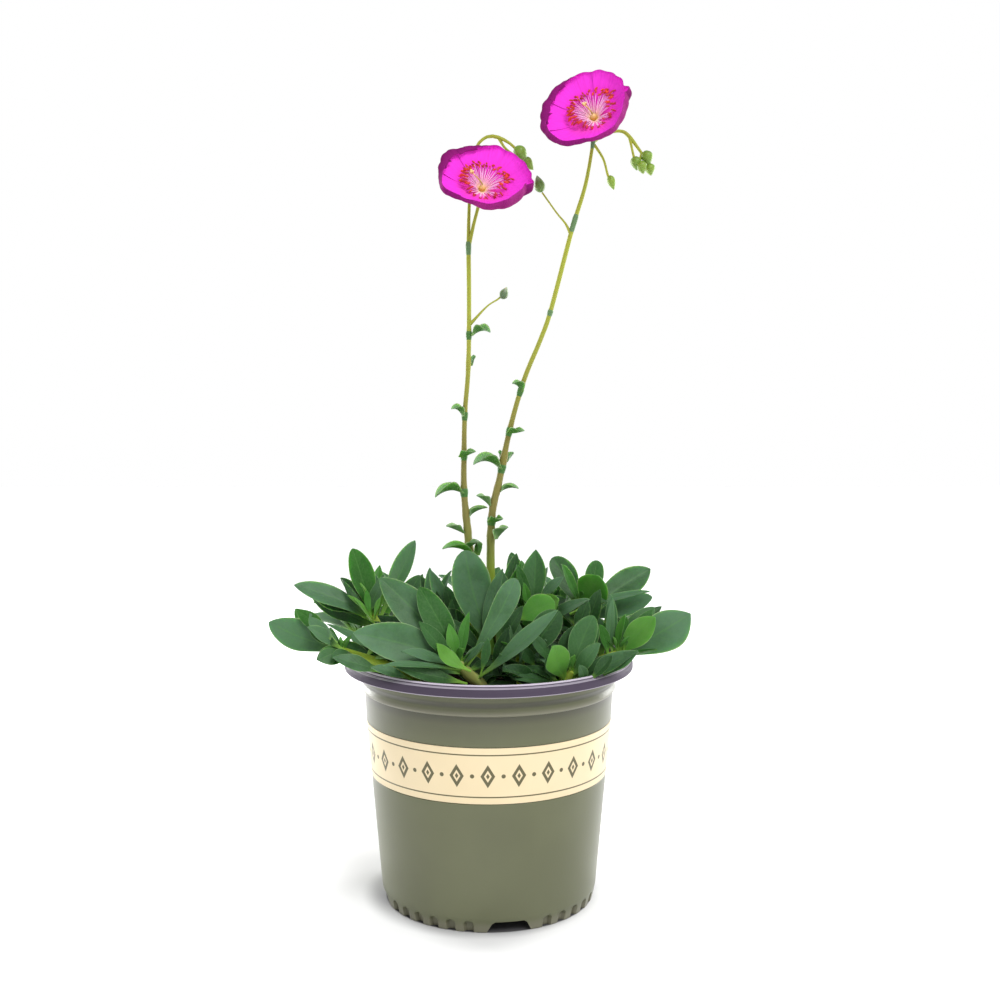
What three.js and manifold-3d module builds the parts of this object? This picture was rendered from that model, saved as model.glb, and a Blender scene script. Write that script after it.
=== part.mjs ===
// Rock purslane in a nursery pot: rosettes of fleshy leaves and two flower stalks.
// Millimetres, +Z up, front towards -Y. The origin is the centre of the pot's foot, on the floor.
import * as THREE from 'three';
import { mergeVertices } from 'three/addons/utils/BufferGeometryUtils.js';
import Module from 'manifold-3d';

const wasm = await Module();
wasm.setup();

const GAP = 0.3;
const TURN = 2 * Math.PI;
const DEGREE = Math.PI / 180;
const UP = new THREE.Vector3(0, 0, 1);
const FRONT = new THREE.Vector3(0, -1, 0.35);

// Pot
const AROUND = 32;
const FOOT_RADIUS = 60.3;
const FOOT_PAD_RADIUS = 22;
const FOOT_RING_RADIUS = 47;
const FOOT_RECESS = 2.5;
const FLOOR_TOP = 7.5;
const WALL = 2.2;
const LABEL_BOTTOM = 73.3;
const LABEL_TOP = 104.2;
const LABEL_BOTTOM_RADIUS = 67.6;
const LABEL_TOP_RADIUS = 70.3;
const LABEL_RECESS = 0.8;
const LABEL_THICKNESS = 0.6;
const COLLAR_BOTTOM = 121.2;
const COLLAR_RADIUS = 71.9;
const WALL_TOP = 134;
const WALL_TOP_RADIUS = 74.4;
const NOTCH_COUNT = 4;
const NOTCH_ANGLE = -79 * DEGREE;
const NOTCH_FLOOR_WIDTH = 24.5;
const NOTCH_TOP_WIDTH = 17;
const NOTCH_HEIGHT = 6.2;
const NOTCH_REACH = 44;
const GROOVES_PER_QUARTER = 6;
const GROOVE_PITCH = 9.64 * DEGREE;
const GROOVE_WIDTH = 4.2;
const GROOVE_DEPTH = 1.8;

// Rim
const RIM_RADIUS = 82.5;
const RIM_TOP = 140;
const RIM_SKIRT_BOTTOM = 133.7;

// Soil
const SOIL_TOP = 123;
const SOIL_CROWN = 3;
const SOIL_BUMP = 1.4;

// Plant
const STEM_SIDES = 6;
const STEM_RADIUS = 2.9;
const STEM_DEPTH = 16;
const GOLDEN_ANGLE = 137.5;
const LEAF_THICKNESS = 1.7;
const LEAF_CUP = 0.16;
const LEAF_PETIOLE = 0.17;
const LEAF_WIDEST = 0.62;
const NARROW_LEAF = 8;
const LEAF_STATIONS = [0, 0.3, 0.56, 0.78, 0.93];
const NARROW_STATIONS = [0, 0.4, 0.7, 0.9];
const PETAL_COUNT = 5;
const STAMEN_COUNT = 20;
const FLOWER_RADIUS = 28;
const FLOWER_CUP = 11.5;

const materials = {
  pot: new THREE.MeshStandardMaterial({ color: 0x787b62, roughness: 0.42, metalness: 0 }),
  rim: new THREE.MeshStandardMaterial({ color: 0x6e6472, roughness: 0.22, metalness: 0 }),
  label: new THREE.MeshStandardMaterial({ color: 0xfdedcc, roughness: 0.5, metalness: 0 }),
  soil: new THREE.MeshStandardMaterial({ color: 0x33281e, roughness: 0.95, metalness: 0 }),
  leaf: new THREE.MeshStandardMaterial({ color: 0x4a7c4c, roughness: 0.5, metalness: 0 }),
  stalk: new THREE.MeshStandardMaterial({ color: 0x9aa04a, roughness: 0.5, metalness: 0 }),
  petal: new THREE.MeshStandardMaterial({ color: 0xf532d7, roughness: 0.55, metalness: 0 }),
  stamen: new THREE.MeshStandardMaterial({ color: 0xd75a46, roughness: 0.6, metalness: 0 }),
  pistil: new THREE.MeshStandardMaterial({ color: 0xc8b43c, roughness: 0.6, metalness: 0 }),
};

// Solids

function solidOf(geometry) {
  const bare = geometry.clone();
  bare.deleteAttribute('normal');
  bare.deleteAttribute('uv');
  const merged = mergeVertices(bare, 1e-4);
  const corners = merged.index.array;
  const places = merged.attributes.position.array;
  const kept = [];
  for (let i = 0; i < corners.length; i += 3) {
    const [a, b, c] = [corners[i], corners[i + 1], corners[i + 2]];
    if (a !== b && b !== c && c !== a) kept.push(a, b, c);
  }
  if (signedVolume(places, kept) < 0) kept.reverse();
  const mesh = new wasm.Mesh({
    numProp: 3,
    vertProperties: new Float32Array(places),
    triVerts: new Uint32Array(kept),
  });
  return new wasm.Manifold(mesh);
}

function signedVolume(places, corners) {
  const [a, b, c] = [new THREE.Vector3(), new THREE.Vector3(), new THREE.Vector3()];
  let volume = 0;
  for (let i = 0; i < corners.length; i += 3) {
    a.fromArray(places, 3 * corners[i]);
    b.fromArray(places, 3 * corners[i + 1]);
    c.fromArray(places, 3 * corners[i + 2]);
    volume += a.dot(b.cross(c)) / 6;
  }
  return volume;
}

function union(solids) {
  return solids.reduce((whole, piece) => whole.add(piece));
}

function largestPiece(solid) {
  const pieces = solid.decompose();
  return pieces.reduce((best, piece) => (piece.volume() > best.volume() ? piece : best));
}

function meshOf(name, solid, material) {
  const { vertProperties, triVerts } = largestPiece(solid).getMesh();
  const geometry = new THREE.BufferGeometry();
  geometry.setAttribute('position', new THREE.BufferAttribute(new Float32Array(vertProperties), 3));
  geometry.setIndex(new THREE.BufferAttribute(new Uint32Array(triVerts), 1));
  geometry.computeVertexNormals();
  const mesh = new THREE.Mesh(geometry, material);
  mesh.name = name;
  return mesh;
}

// A skin through rings of points, each ring with the same count; a ring of one point is a tip.
function loft(rings) {
  const places = [];
  const corners = [];
  const starts = rings.map((ring) => {
    const start = places.length / 3;
    ring.forEach((point) => places.push(point.x, point.y, point.z));
    return start;
  });
  for (let i = 0; i + 1 < rings.length; i += 1) {
    const [low, high] = [rings[i].length, rings[i + 1].length];
    const sides = Math.max(low, high);
    for (let j = 0; j < sides; j += 1) {
      const next = (j + 1) % sides;
      const a = starts[i] + (j % low);
      const b = starts[i] + (next % low);
      const c = starts[i + 1] + (next % high);
      const d = starts[i + 1] + (j % high);
      if (a !== b) corners.push(a, b, c);
      if (c !== d) corners.push(a, c, d);
    }
  }
  [0, rings.length - 1].forEach((end) => {
    const start = starts[end];
    for (let j = 1; j + 1 < rings[end].length; j += 1) {
      if (end === 0) corners.push(start, start + j + 1, start + j);
      else corners.push(start, start + j, start + j + 1);
    }
  });
  const geometry = new THREE.BufferGeometry();
  geometry.setAttribute('position', new THREE.Float32BufferAttribute(places, 3));
  geometry.setIndex(corners);
  return geometry;
}

// A round-sectioned stem through points, each [x, y, z, radius].
function stem(points, sides = STEM_SIDES) {
  const centres = points.map(([x, y, z]) => new THREE.Vector3(x, y, z));
  const side = new THREE.Vector3(1, 0, 0);
  const rings = centres.map((centre, i) => {
    const before = centres[Math.max(i - 1, 0)];
    const after = centres[Math.min(i + 1, centres.length - 1)];
    const along = after.clone().sub(before).normalize();
    side.addScaledVector(along, -side.dot(along)).normalize();
    const across = along.clone().cross(side);
    return circle(centre, side.clone(), across, points[i][3], sides);
  });
  return solidOf(loft(rings));
}

function circle(centre, right, forward, radius, sides) {
  return Array.from({ length: sides }, (_, j) => {
    const angle = (j / sides) * TURN;
    return centre.clone()
      .addScaledVector(right, radius * Math.cos(angle))
      .addScaledVector(forward, radius * Math.sin(angle));
  });
}

// Pot, rim, label and soil

function latheSolid(profile) {
  const points = profile.map(([r, z]) => new THREE.Vector2(r, z));
  const geometry = new THREE.LatheGeometry(points, AROUND);
  geometry.rotateX(Math.PI / 2);
  return solidOf(geometry);
}

function potWall() {
  const recess = LABEL_RECESS;
  const outside = [
    [FOOT_RADIUS, 0],
    [62.0, 8],
    [62.9, 18],
    [LABEL_BOTTOM_RADIUS, LABEL_BOTTOM - GAP],
    [LABEL_BOTTOM_RADIUS - recess, LABEL_BOTTOM - GAP],
    [LABEL_TOP_RADIUS - recess, LABEL_TOP + GAP],
    [LABEL_TOP_RADIUS, LABEL_TOP + GAP],
    [71.2, COLLAR_BOTTOM],
    [COLLAR_RADIUS, COLLAR_BOTTOM + 0.4],
    [COLLAR_RADIUS + 0.4, COLLAR_BOTTOM + 6],
    [COLLAR_RADIUS + 1.6, COLLAR_BOTTOM + 9],
    [WALL_TOP_RADIUS, WALL_TOP],
  ];
  const inside = [
    [71.8, WALL_TOP],
    [71.2 - WALL, COLLAR_BOTTOM],
    [62.9 - WALL, 18],
    [61.5 - WALL, FLOOR_TOP],
  ];
  return { outside, inside };
}

function potSolid() {
  const { outside, inside } = potWall();
  const underside = [
    [0, 0],
    [FOOT_PAD_RADIUS, 0],
    [FOOT_PAD_RADIUS + 2, FOOT_RECESS],
    [FOOT_RING_RADIUS - 2, FOOT_RECESS],
    [FOOT_RING_RADIUS, 0],
  ];
  let pot = latheSolid([...underside, ...outside, ...inside, [0, FLOOR_TOP]]);
  for (let quarter = 0; quarter < NOTCH_COUNT; quarter += 1) {
    const centre = NOTCH_ANGLE + (quarter / NOTCH_COUNT) * TURN;
    pot = pot.subtract(radialCut(notchShape(), centre, NOTCH_REACH));
    pot = pot.subtract(drainHole(centre));
    const middle = centre + TURN / NOTCH_COUNT / 2;
    for (let i = 0; i < GROOVES_PER_QUARTER; i += 1) {
      const angle = middle + (i - (GROOVES_PER_QUARTER - 1) / 2) * GROOVE_PITCH;
      pot = pot.subtract(radialCut(grooveShape(), angle, FOOT_RADIUS - GROOVE_DEPTH));
    }
  }
  return pot;
}

function notchShape() {
  const floor = NOTCH_FLOOR_WIDTH / 2;
  const top = NOTCH_TOP_WIDTH / 2;
  const shape = new THREE.Shape();
  shape.moveTo(-floor - 0.6, -1);
  shape.lineTo(-floor + 0.6, 1.2);
  shape.lineTo(-top - 1.2, NOTCH_HEIGHT - 1.2);
  shape.lineTo(-top + 0.6, NOTCH_HEIGHT);
  shape.lineTo(top - 0.6, NOTCH_HEIGHT);
  shape.lineTo(top + 1.2, NOTCH_HEIGHT - 1.2);
  shape.lineTo(floor - 0.6, 1.2);
  shape.lineTo(floor + 0.6, -1);
  return shape;
}

function grooveShape() {
  const radius = GROOVE_WIDTH / 2;
  const shape = new THREE.Shape();
  shape.moveTo(-radius, -1);
  shape.lineTo(radius, -1);
  shape.absarc(0, NOTCH_HEIGHT - radius, radius, 0, Math.PI, false);
  return shape;
}

// Cuts a shape drawn upright, from a radius outwards through the wall.
function radialCut(shape, angle, fromRadius) {
  const depth = FOOT_RADIUS + 4 - fromRadius;
  const geometry = new THREE.ExtrudeGeometry(shape, { depth, bevelEnabled: false, curveSegments: 2 });
  const radial = new THREE.Vector3(Math.cos(angle), Math.sin(angle), 0);
  const tangent = UP.clone().cross(radial);
  const placed = new THREE.Matrix4().makeBasis(tangent, UP, radial);
  placed.setPosition(radial.clone().multiplyScalar(fromRadius));
  return solidOf(geometry.applyMatrix4(placed));
}

function drainHole(angle) {
  const hole = new THREE.BoxGeometry(6, 11, 6);
  hole.translate(53, 0, FLOOR_TOP - 1);
  hole.rotateZ(angle);
  return solidOf(hole);
}

function rimSolid() {
  return latheSolid([
    [72.0, WALL_TOP + GAP],
    [80.9, WALL_TOP + GAP],
    [81.3, RIM_SKIRT_BOTTOM],
    [RIM_RADIUS, RIM_SKIRT_BOTTOM],
    [RIM_RADIUS, 136.9],
    [81.2, 138.8],
    [80.1, 138.7],
    [79.2, RIM_TOP],
    [77.9, RIM_TOP - 0.4],
    [74.2, 136.4],
    [72.0, WALL_TOP + GAP],
  ]);
}

function labelSolid() {
  const proud = LABEL_THICKNESS + GAP - LABEL_RECESS;
  return latheSolid([
    [LABEL_BOTTOM_RADIUS + proud - LABEL_THICKNESS, LABEL_BOTTOM],
    [LABEL_BOTTOM_RADIUS + proud, LABEL_BOTTOM],
    [LABEL_TOP_RADIUS + proud, LABEL_TOP],
    [LABEL_TOP_RADIUS + proud - LABEL_THICKNESS, LABEL_TOP],
    [LABEL_BOTTOM_RADIUS + proud - LABEL_THICKNESS, LABEL_BOTTOM],
  ]);
}

function soilHeight(x, y) {
  const reach = Math.hypot(x, y) / 68;
  const dome = SOIL_CROWN * (1 - reach * reach);
  const bumps = Math.sin(0.31 * x + 1.3) * Math.cos(0.27 * y) + 0.5 * Math.sin(0.71 * y + 0.53 * x);
  return SOIL_TOP + dome + SOIL_BUMP * bumps * Math.min(1, 3 * (1 - reach));
}

function soilSolid(stemFeet) {
  const { inside } = potWall();
  const side = inside.slice(1).reverse().map(([r, z]) => [r - GAP, z]);
  side[0] = [side[0][0], FLOOR_TOP + GAP];
  const rim = side[side.length - 1][0];
  const profile = [[0, FLOOR_TOP + GAP], ...side, [rim, SOIL_TOP]];
  for (const share of [0.8, 0.55, 0.28, 0]) profile.push([rim * share, SOIL_TOP]);
  const geometry = new THREE.LatheGeometry(profile.map(([r, z]) => new THREE.Vector2(r, z)), AROUND);
  geometry.rotateX(Math.PI / 2);
  const places = geometry.attributes.position;
  for (let i = 0; i < places.count; i += 1) {
    if (Math.abs(places.getZ(i) - SOIL_TOP) < 1e-6) {
      places.setZ(i, soilHeight(places.getX(i), places.getY(i)));
    }
  }
  let soil = solidOf(geometry);
  for (const [x, y, radius, bottom] of stemFeet) {
    const hole = new THREE.CylinderGeometry(radius + 2 * GAP, radius + 2 * GAP, 40, 7);
    hole.rotateX(Math.PI / 2);
    hole.translate(x, y, bottom - GAP + 20);
    soil = soil.subtract(solidOf(hole));
  }
  return soil;
}

// Leaves and shoots

function halfWidth(u, width) {
  const swell = THREE.MathUtils.smoothstep(u, 0.1, LEAF_WIDEST);
  const past = Math.max(0, (u - LEAF_WIDEST) / (1 - LEAF_WIDEST));
  return (width / 2) * (LEAF_PETIOLE + (1 - LEAF_PETIOLE) * swell) * (1 - past * past) ** 0.85;
}

// A fleshy blade from its base to its tip. Its upper face looks at the point it faces, turned
// towards the front by a share from 0 to 1. A positive arch bows the midrib out on that face.
function leaf(base, tip, faces, { width, arch = 0, front = 0, thickness = LEAF_THICKNESS }) {
  const along = tip.clone().sub(base);
  const length = along.length();
  along.normalize();
  const middle = base.clone().lerp(tip, 0.5);
  const inward = faces.clone().sub(middle).normalize();
  const face = inward.lerp(FRONT, front);
  face.addScaledVector(along, -face.dot(along)).normalize();
  const control = middle.clone().addScaledVector(face, arch * length);
  const curve = new THREE.QuadraticBezierCurve3(base, control, tip);
  const broad = width > NARROW_LEAF;
  const rings = (broad ? LEAF_STATIONS : NARROW_STATIONS).map((u) => {
    const centre = curve.getPoint(u);
    const tangent = curve.getTangent(u);
    const side = tangent.clone().cross(face).normalize();
    const normal = side.clone().cross(tangent);
    const half = halfWidth(u, width);
    const lift = LEAF_CUP * half * THREE.MathUtils.smoothstep(u, 0, 0.4);
    const depth = thickness * (1.15 - 0.5 * u);
    const corners = [
      centre.clone().addScaledVector(side, half).addScaledVector(normal, lift),
      centre.clone().addScaledVector(side, -half).addScaledVector(normal, lift),
      centre.clone().addScaledVector(normal, -depth),
    ];
    const channel = centre.clone().addScaledVector(normal, 0.25 * depth * (1 - u));
    if (broad) corners.splice(1, 0, channel);
    return corners;
  });
  return solidOf(loft([...rings, [tip]]));
}

// Shoots placed one by one: the stem runs from its foot in the soil to its crown, over an elbow
// where it has to clear the rim. Each leaf is its tip x, y, z, then its width, its arch, its share
// turned to the front, and how far below the crown it springs.
const PLACED_SHOOTS = {
  front: {
    foot: [-3, -36],
    crown: [-16, -50, 145],
    leaves: [
      [-59, -40, 190, 20, 0.08, 0.85, 1],
      [-37, -47, 186, 15, 0.06, 0.85, 2],
      [-37, -55, 169, 9, 0.05, 0.7, 0],
      [-21, -50, 167, 7, 0, 0.6, -1],
      [-10, -48, 173, 6, 0.02, 0.55, -1],
      [-27, -60, 158, 8, -0.2, 0.8, 2],
      [-71, -62, 164, 21, 0.1, 0.8, 4],
      [-45, -70, 156, 7, 0.1, 0.6, 5],
      [-48, -66, 147, 10, 0.12, 0.45, 9],
      [-63, -28, 164, 12, 0.1, 0.6, 4],
      [15, -42, 190, 16, 0.07, 0.9, 3],
      [37, -54, 175, 10, 0.06, 0.6, 14],
      [-2, -60, 159, 5, 0.05, 0.5, 4],
    ],
  },
  left: {
    foot: [-34, -44],
    elbow: [-52, -50, 143],
    crown: [-79, -44, 151],
    leaves: [
      [-121, -30, 164, 18, 0.08, 0.8, 2],
      [-109, -16, 168, 10, 0.06, 0.5, 0],
      [-98, -24, 169, 8, 0.04, 0.6, -1],
      [-86, -40, 163, 4, 0, 0.1, -1],
      [-96, -54, 166, 9, 0.08, 0.6, 0],
      [-91, -58, 149, 12, 0.15, 0.7, 3],
      [-82, -62, 151, 9, 0.1, 0.6, 9],
    ],
  },
  left_upper: {
    foot: [-46, -8],
    crown: [-66, -2, 163],
    leaves: [
      [-112, 8, 181, 13, 0.12, 0.75, 6],
      [-103, 2, 174, 12, 0.1, 0.5, 9],
      [-78, 0, 201, 14, 0.05, 0.85, 2],
      [-86, 8, 183, 7, 0.05, 0.6, 3],
      [-67, 4, 187, 9, 0, 0.5, 1],
      [-64, 18, 189, 9, 0.05, 0.7, 3],
      [-43, 14, 204, 13, 0.06, 0.8, 3],
      [-72, -12, 183, 4, 0.05, 0.4, -1],
      [-58, -6, 178, 4, 0.05, 0.4, 0],
      [-79, -12, 176, 5, 0.05, 0.4, 1],
    ],
  },
  centre: {
    foot: [-6, -8],
    crown: [-7, -6, 149],
    leaves: [
      [-14, -16, 202, 27, 0.05, 0.9, 3],
      [8, -4, 186, 9, 0.06, 0.6, 6],
      [3, -18, 162, 8, 0.08, 0.5, 2],
      [-27, -12, 168, 12, 0.06, 0.6, 3],
    ],
  },
  centre_left: {
    foot: [-26, 12],
    crown: [-33, 14, 158],
    leaves: [
      [-35, 22, 187, 7, 0.06, 0.5, 1],
      [-22, 10, 187, 6, 0.05, 0.5, 2],
      [-43, 32, 181, 11, 0.05, 0.7, 1],
      [-30, 2, 176, 8, 0.06, 0.6, 4],
    ],
  },
  centre_right: {
    foot: [22, 0],
    crown: [24, 0, 164],
    leaves: [
      [27, 4, 200, 14, 0.03, 0.85, 0],
      [13, 22, 196, 12, 0.05, 0.8, 1],
      [19, 16, 192, 8, 0.06, 0.4, 2],
      [16, -2, 192, 7, 0.02, 0.7, 1],
      [20, -4, 182, 5, 0, 0.6, 2],
      [37, -16, 173, 14, -0.05, 0.8, 3],
      [41, -10, 185, 5, 0.05, 0.4, 0],
      [34, 10, 189, 5, 0.05, 0.6, 0],
      [34, -50, 143, 8, 0.1, 0.7, 14],
      [56, -24, 176, 9, 0.08, 0.6, 8],
      [42, 10, 166, 12, 0.1, 0.4, 8],
      [4, 4, 167, 11, 0.1, 0.4, 10],
      [46, -8, 156, 11, 0.1, 0.4, 12],
    ],
  },
  right: {
    foot: [42, 10],
    crown: [55, 8, 166],
    leaves: [
      [42, 22, 193, 15, 0.05, 0.85, 2],
      [42, 0, 192, 7, 0.03, 0.5, 0],
      [65, 16, 192, 11, 0.03, 0.8, 1],
      [61, -6, 186, 18, -0.03, 0.85, 1],
      [96, 30, 185, 18, 0.08, 0.75, 3],
      [91, 0, 174, 8, 0.06, 0.25, 4],
      [62, -10, 167, 6, 0.05, 0.3, 7],
    ],
  },
  right_lower: {
    foot: [54, -24],
    elbow: [62, -25, 141],
    crown: [72, -26, 146],
    leaves: [
      [93, -16, 170, 12, 0.06, 0.75, 2],
      [112, -26, 164, 26, 0.04, 0.8, 5],
      [99, -2, 168, 9, 0.06, 0.6, 3],
      [91, -38, 168, 14, 0.03, 0.85, 2],
      [91, -46, 152, 4, 0.05, 0.3, 4],
      [68, -22, 178, 7, 0.06, 0.35, 2],
      [75, -34, 169, 5, 0.02, 0.4, 0],
      [61, -32, 163, 7, 0.05, 0.5, 4],
    ],
  },
  front_right: {
    foot: [38, -46],
    crown: [45, -50, 141],
    leaves: [
      [57, -44, 170, 14, 0.04, 0.8, 3],
      [59, -58, 158, 9, 0.05, 0.7, 3],
      [34, -68, 158, 16, -0.08, 0.9, 5],
      [80, -54, 153, 11, 0.1, 0.6, 6],
      [67, -50, 149, 9, 0.08, 0.5, 5],
    ],
  },
  middle: {
    foot: [2, 26],
    crown: [2, 28, 150],
    leaves: [
      [-26, 26, 172, 15, 0.06, 0.5, 2],
      [-10, 36, 182, 13, 0.06, 0.6, 1],
      [12, 38, 182, 13, 0.06, 0.6, 1],
      [27, 30, 172, 14, 0.06, 0.5, 2],
      [-8, 16, 163, 12, 0.05, 0.4, 4],
      [18, 16, 164, 12, 0.05, 0.4, 5],
    ],
  },
  centre_front: {
    foot: [18, -32],
    crown: [17, -34, 145],
    leaves: [
      [39, -36, 171, 16, 0.04, 0.85, 2],
      [8, -63, 144, 13, 0.12, 0.7, 9],
      [19, -46, 153, 8, 0.1, 0.6, 3],
      [13, -26, 167, 8, 0.04, 0.7, 2],
    ],
  },
};

// Shoots of the sides and back, whose leaves go round the stem by the golden angle.
const RULED_SHOOTS = {
  back_left: { foot: [-36, 42], crown: [-48, 58, 152], count: 8, start: 170, reach: 44 },
  back_middle: { foot: [-2, 50], crown: [-4, 66, 154], count: 8, start: 100, reach: 42 },
  back_right: { foot: [32, 44], crown: [42, 60, 152], count: 8, start: 52, reach: 42 },
  side_right: {
    foot: [54, 26], elbow: [62, 28, 144], crown: [82, 32, 150], count: 6, start: 12, reach: 36,
  },
  side_left: {
    foot: [-57, 16], elbow: [-66, 20, 144], crown: [-82, 28, 149], count: 6, start: 150, reach: 34,
  },
};

function ruledLeaves({ crown: [x, y, z], count, start, reach }) {
  const outward = Math.atan2(y, x);
  return Array.from({ length: count }, (_, i) => {
    const share = i / (count - 1);
    const angle = (start + GOLDEN_ANGLE * i) * DEGREE;
    const side = Math.cos(angle - outward);
    const rise = (14 + 56 * share - 12 * side) * DEGREE;
    const length = reach * (1 - 0.42 * share) * (1 + 0.2 * side);
    const level = length * Math.cos(rise);
    const tip = [x + level * Math.cos(angle), y + level * Math.sin(angle), z + length * Math.sin(rise)];
    return [...tip, 0.36 * length, 0.1, 0, 5 * (1 - share)];
  });
}

function shootSolid({ foot, elbow, crown, leaves }) {
  const [footX, footY] = foot;
  const ground = SOIL_TOP + SOIL_CROWN;
  const top = new THREE.Vector3(...crown);
  const base = new THREE.Vector3(footX, footY, ground + 2);
  const bend = elbow ? new THREE.Vector3(...elbow) : base.clone().lerp(top, 0.55);
  const trunk = stem([
    [footX, footY, ground - STEM_DEPTH, STEM_RADIUS],
    [footX, footY, ground + 2, STEM_RADIUS],
    [...bend.toArray(), STEM_RADIUS],
    [...top.toArray(), STEM_RADIUS * 0.7],
  ]);
  const down = bend.clone().sub(top).normalize();
  const faces = top.clone().setZ(top.z + 60);
  const blades = leaves.map(([tipX, tipY, tipZ, width, arch, front, drop]) => {
    const tip = new THREE.Vector3(tipX, tipY, tipZ);
    const start = top.clone().addScaledVector(down, drop + 1.5);
    const out = tip.clone().sub(start).setZ(0).normalize();
    return leaf(start.addScaledVector(out, STEM_RADIUS * 0.4), tip, faces, { width, arch, front });
  });
  return union([trunk, ...blades]);
}

// Flower stalks

function bud(centre, along, length, radius) {
  const axis = along.clone().normalize();
  const right = new THREE.Vector3(0, 1, 0);
  right.addScaledVector(axis, -right.dot(axis)).normalize();
  const forward = axis.clone().cross(right);
  const shape = [[0, 0.4], [0.2, 0.85], [0.5, 1], [0.8, 0.6]];
  const rings = shape.map(([u, share]) => {
    const place = centre.clone().addScaledVector(axis, (u - 0.5) * length);
    return circle(place, right, forward, radius * share, 5);
  });
  return solidOf(loft([...rings, [centre.clone().addScaledVector(axis, length / 2)]]));
}

// The points of a stalk are x, y, z, radius; its last point is the receptacle under the flower.
const STALKS = {
  a: {
    flower: {
      centre: [-4, -3, 401],
      faces: [0.18, -0.75, 0.66],
      turn: 0,
      reach: [[0, 1.03], [15, 0.96], [90, 0.98], [120, 1.03], [150, 1.12], [180, 1.03], [200, 1.07], [225, 1.2],
        [242, 1.02], [255, 0.92], [270, 1.06], [295, 1.17], [330, 1.12], [345, 1.14], [360, 1.03]],
    },
    stem: [
      [-11, 2, 110, 2.1],
      [-11, 2, 130, 2.1],
      [-10.5, 1, 165, 2.0],
      [-11.5, 0, 203, 1.9],
      [-14, 0, 233, 1.8],
      [-14, 0, 256, 1.7],
      [-13.5, 0, 278, 1.6],
      [-11.5, 0, 304, 1.45],
      [-11, 0, 340, 1.3],
      [-11.3, 0, 370, 1.4],
    ],
    branches: [
      [[-11.3, 0, 368, 1.2], [-8, 0, 382, 1.0], [-6, -1, 392, 1.0], [-5, -2, 398, 1.5]],
      [[-11.3, 0, 368, 1.2], [-11, 3, 390, 1.0], [-10, 8, 412, 0.95], [-7, 9, 427, 0.9], [-1, 9, 433, 0.9],
        [5.5, 8, 432.5, 1.1], [12, 7, 429, 0.8], [18, 6, 423, 0.9]],
      [[5.5, 8, 432.5, 1.0], [10, 8, 426, 0.7], [20, 8, 419, 0.8]],
      [[-10.5, 0, 328, 1.0], [-1, 1, 338, 0.7], [5, 2, 342, 0.7], [8, 2, 344.5, 0.8]],
    ],
    buds: [
      [[18.5, 6, 422, 0.5, 0, -0.8], 9, 4],
      [[22, 8, 416.5, 0.6, 0, -0.7], 8, 3.2],
      [[8.8, 2, 345.5, 0.5, 0, 0.8], 6.5, 2.4],
    ],
    leaves: [
      [-10, 0, 321, 1.1, -4, 323.4, 6.5],
      [-13.5, 0, 276, -21.2, -3, 280.7, 5.5],
      [-14, -1, 253, -7.2, -8, 257, 6],
      [-14, 0, 233, -30.4, -5, 230.8, 8.5],
      [-12, 0, 219, -0.7, 2, 224.4, 5],
      [-12, 0, 210, -24.2, -5, 214.6, 5.5],
      [-10.5, -3, 198, -26.3, -9, 201.8, 6],
      [-11, -1, 199, -4.9, -6, 205.7, 5],
    ],
  },
  b: {
    flower: {
      centre: [58.8, -2, 440],
      faces: [-0.28, -0.78, 0.54],
      turn: 24,
      reach: [[0, 0.85], [25, 0.87], [50, 0.94], [75, 0.94], [90, 1], [110, 1.09], [150, 1.15], [195, 1.23],
        [222, 1.22], [242, 1.06], [260, 1.04], [280, 1.04], [315, 0.95], [345, 0.98], [360, 0.85]],
    },
    stem: [
      [2, 8, 110, 2.5],
      [2, 8, 130, 2.5],
      [1.5, 5, 165, 2.4],
      [1, 2, 196, 2.3],
      [2, 0, 222, 2.0],
      [6, 0, 240, 1.9],
      [12, 0, 269, 1.7],
      [20, 0, 297, 1.5],
      [29, 0, 319, 1.4],
      [35, 0, 336, 1.45],
      [46.5, 0, 380, 1.4],
      [54, 0, 405, 1.1],
      [58, -1, 428, 1.0],
      [58.8, -1.5, 437, 1.5],
    ],
    branches: [
      [[46, 0, 378, 1.1], [43, 1, 384, 0.8], [38, 1, 390, 0.7], [30, 1, 401, 0.7]],
      [[58, -1, 429, 0.9], [64, 3, 420, 0.7], [66.5, 4, 412, 0.7], [68, 4, 408, 0.8]],
      [[58, -1, 429, 0.9], [65, 6, 434, 0.9], [74, 8, 436, 0.9], [79, 8, 433, 1.1],
        [86, 8, 424, 0.8], [89, 8, 421, 0.9]],
      [[79, 8, 433, 0.9], [80.5, 7, 426, 0.7], [82, 6, 419, 0.8]],
      [[86, 8, 424, 0.8], [85, 7, 419, 0.7], [85.5, 6, 416, 0.8]],
      [[86, 8, 424, 0.8], [90, 9, 418, 0.7], [91, 9, 415, 0.8]],
    ],
    buds: [
      [[28.5, 1, 404.5, -0.3, 0, 0.9], 8.5, 2.7],
      [[68.5, 4, 405.5, 0.3, 0, -0.9], 7, 2.3],
      [[89, 8, 419.5, 0.2, 0, -0.9], 6.5, 3.2],
      [[81.5, 6, 417, -0.1, 0, -0.9], 6, 2.8],
      [[85.5, 6, 414, 0.1, 0, -0.9], 6, 3],
      [[91, 9, 413, 0.2, 0, -0.9], 5.5, 2.8],
    ],
    leaves: [
      [18.3, 0, 290, 13.2, -3, 295, 6],
      [12, -1, 267, 20.1, -8, 268.7, 5.5],
      [9, 1, 251, 14, 5, 256, 5],
      [7, 0, 247, -8.7, -5, 249.3, 8.5],
      [5.5, 0, 234, 17.2, 1, 235.3, 4.5],
      [2, 0, 226, -7, -4, 231.8, 5.5],
      [2, -1, 217, 8.2, -8, 219, 6.5],
      [2.5, 0, 207, 11.1, -3, 213.8, 8],
    ],
  },
};

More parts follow.
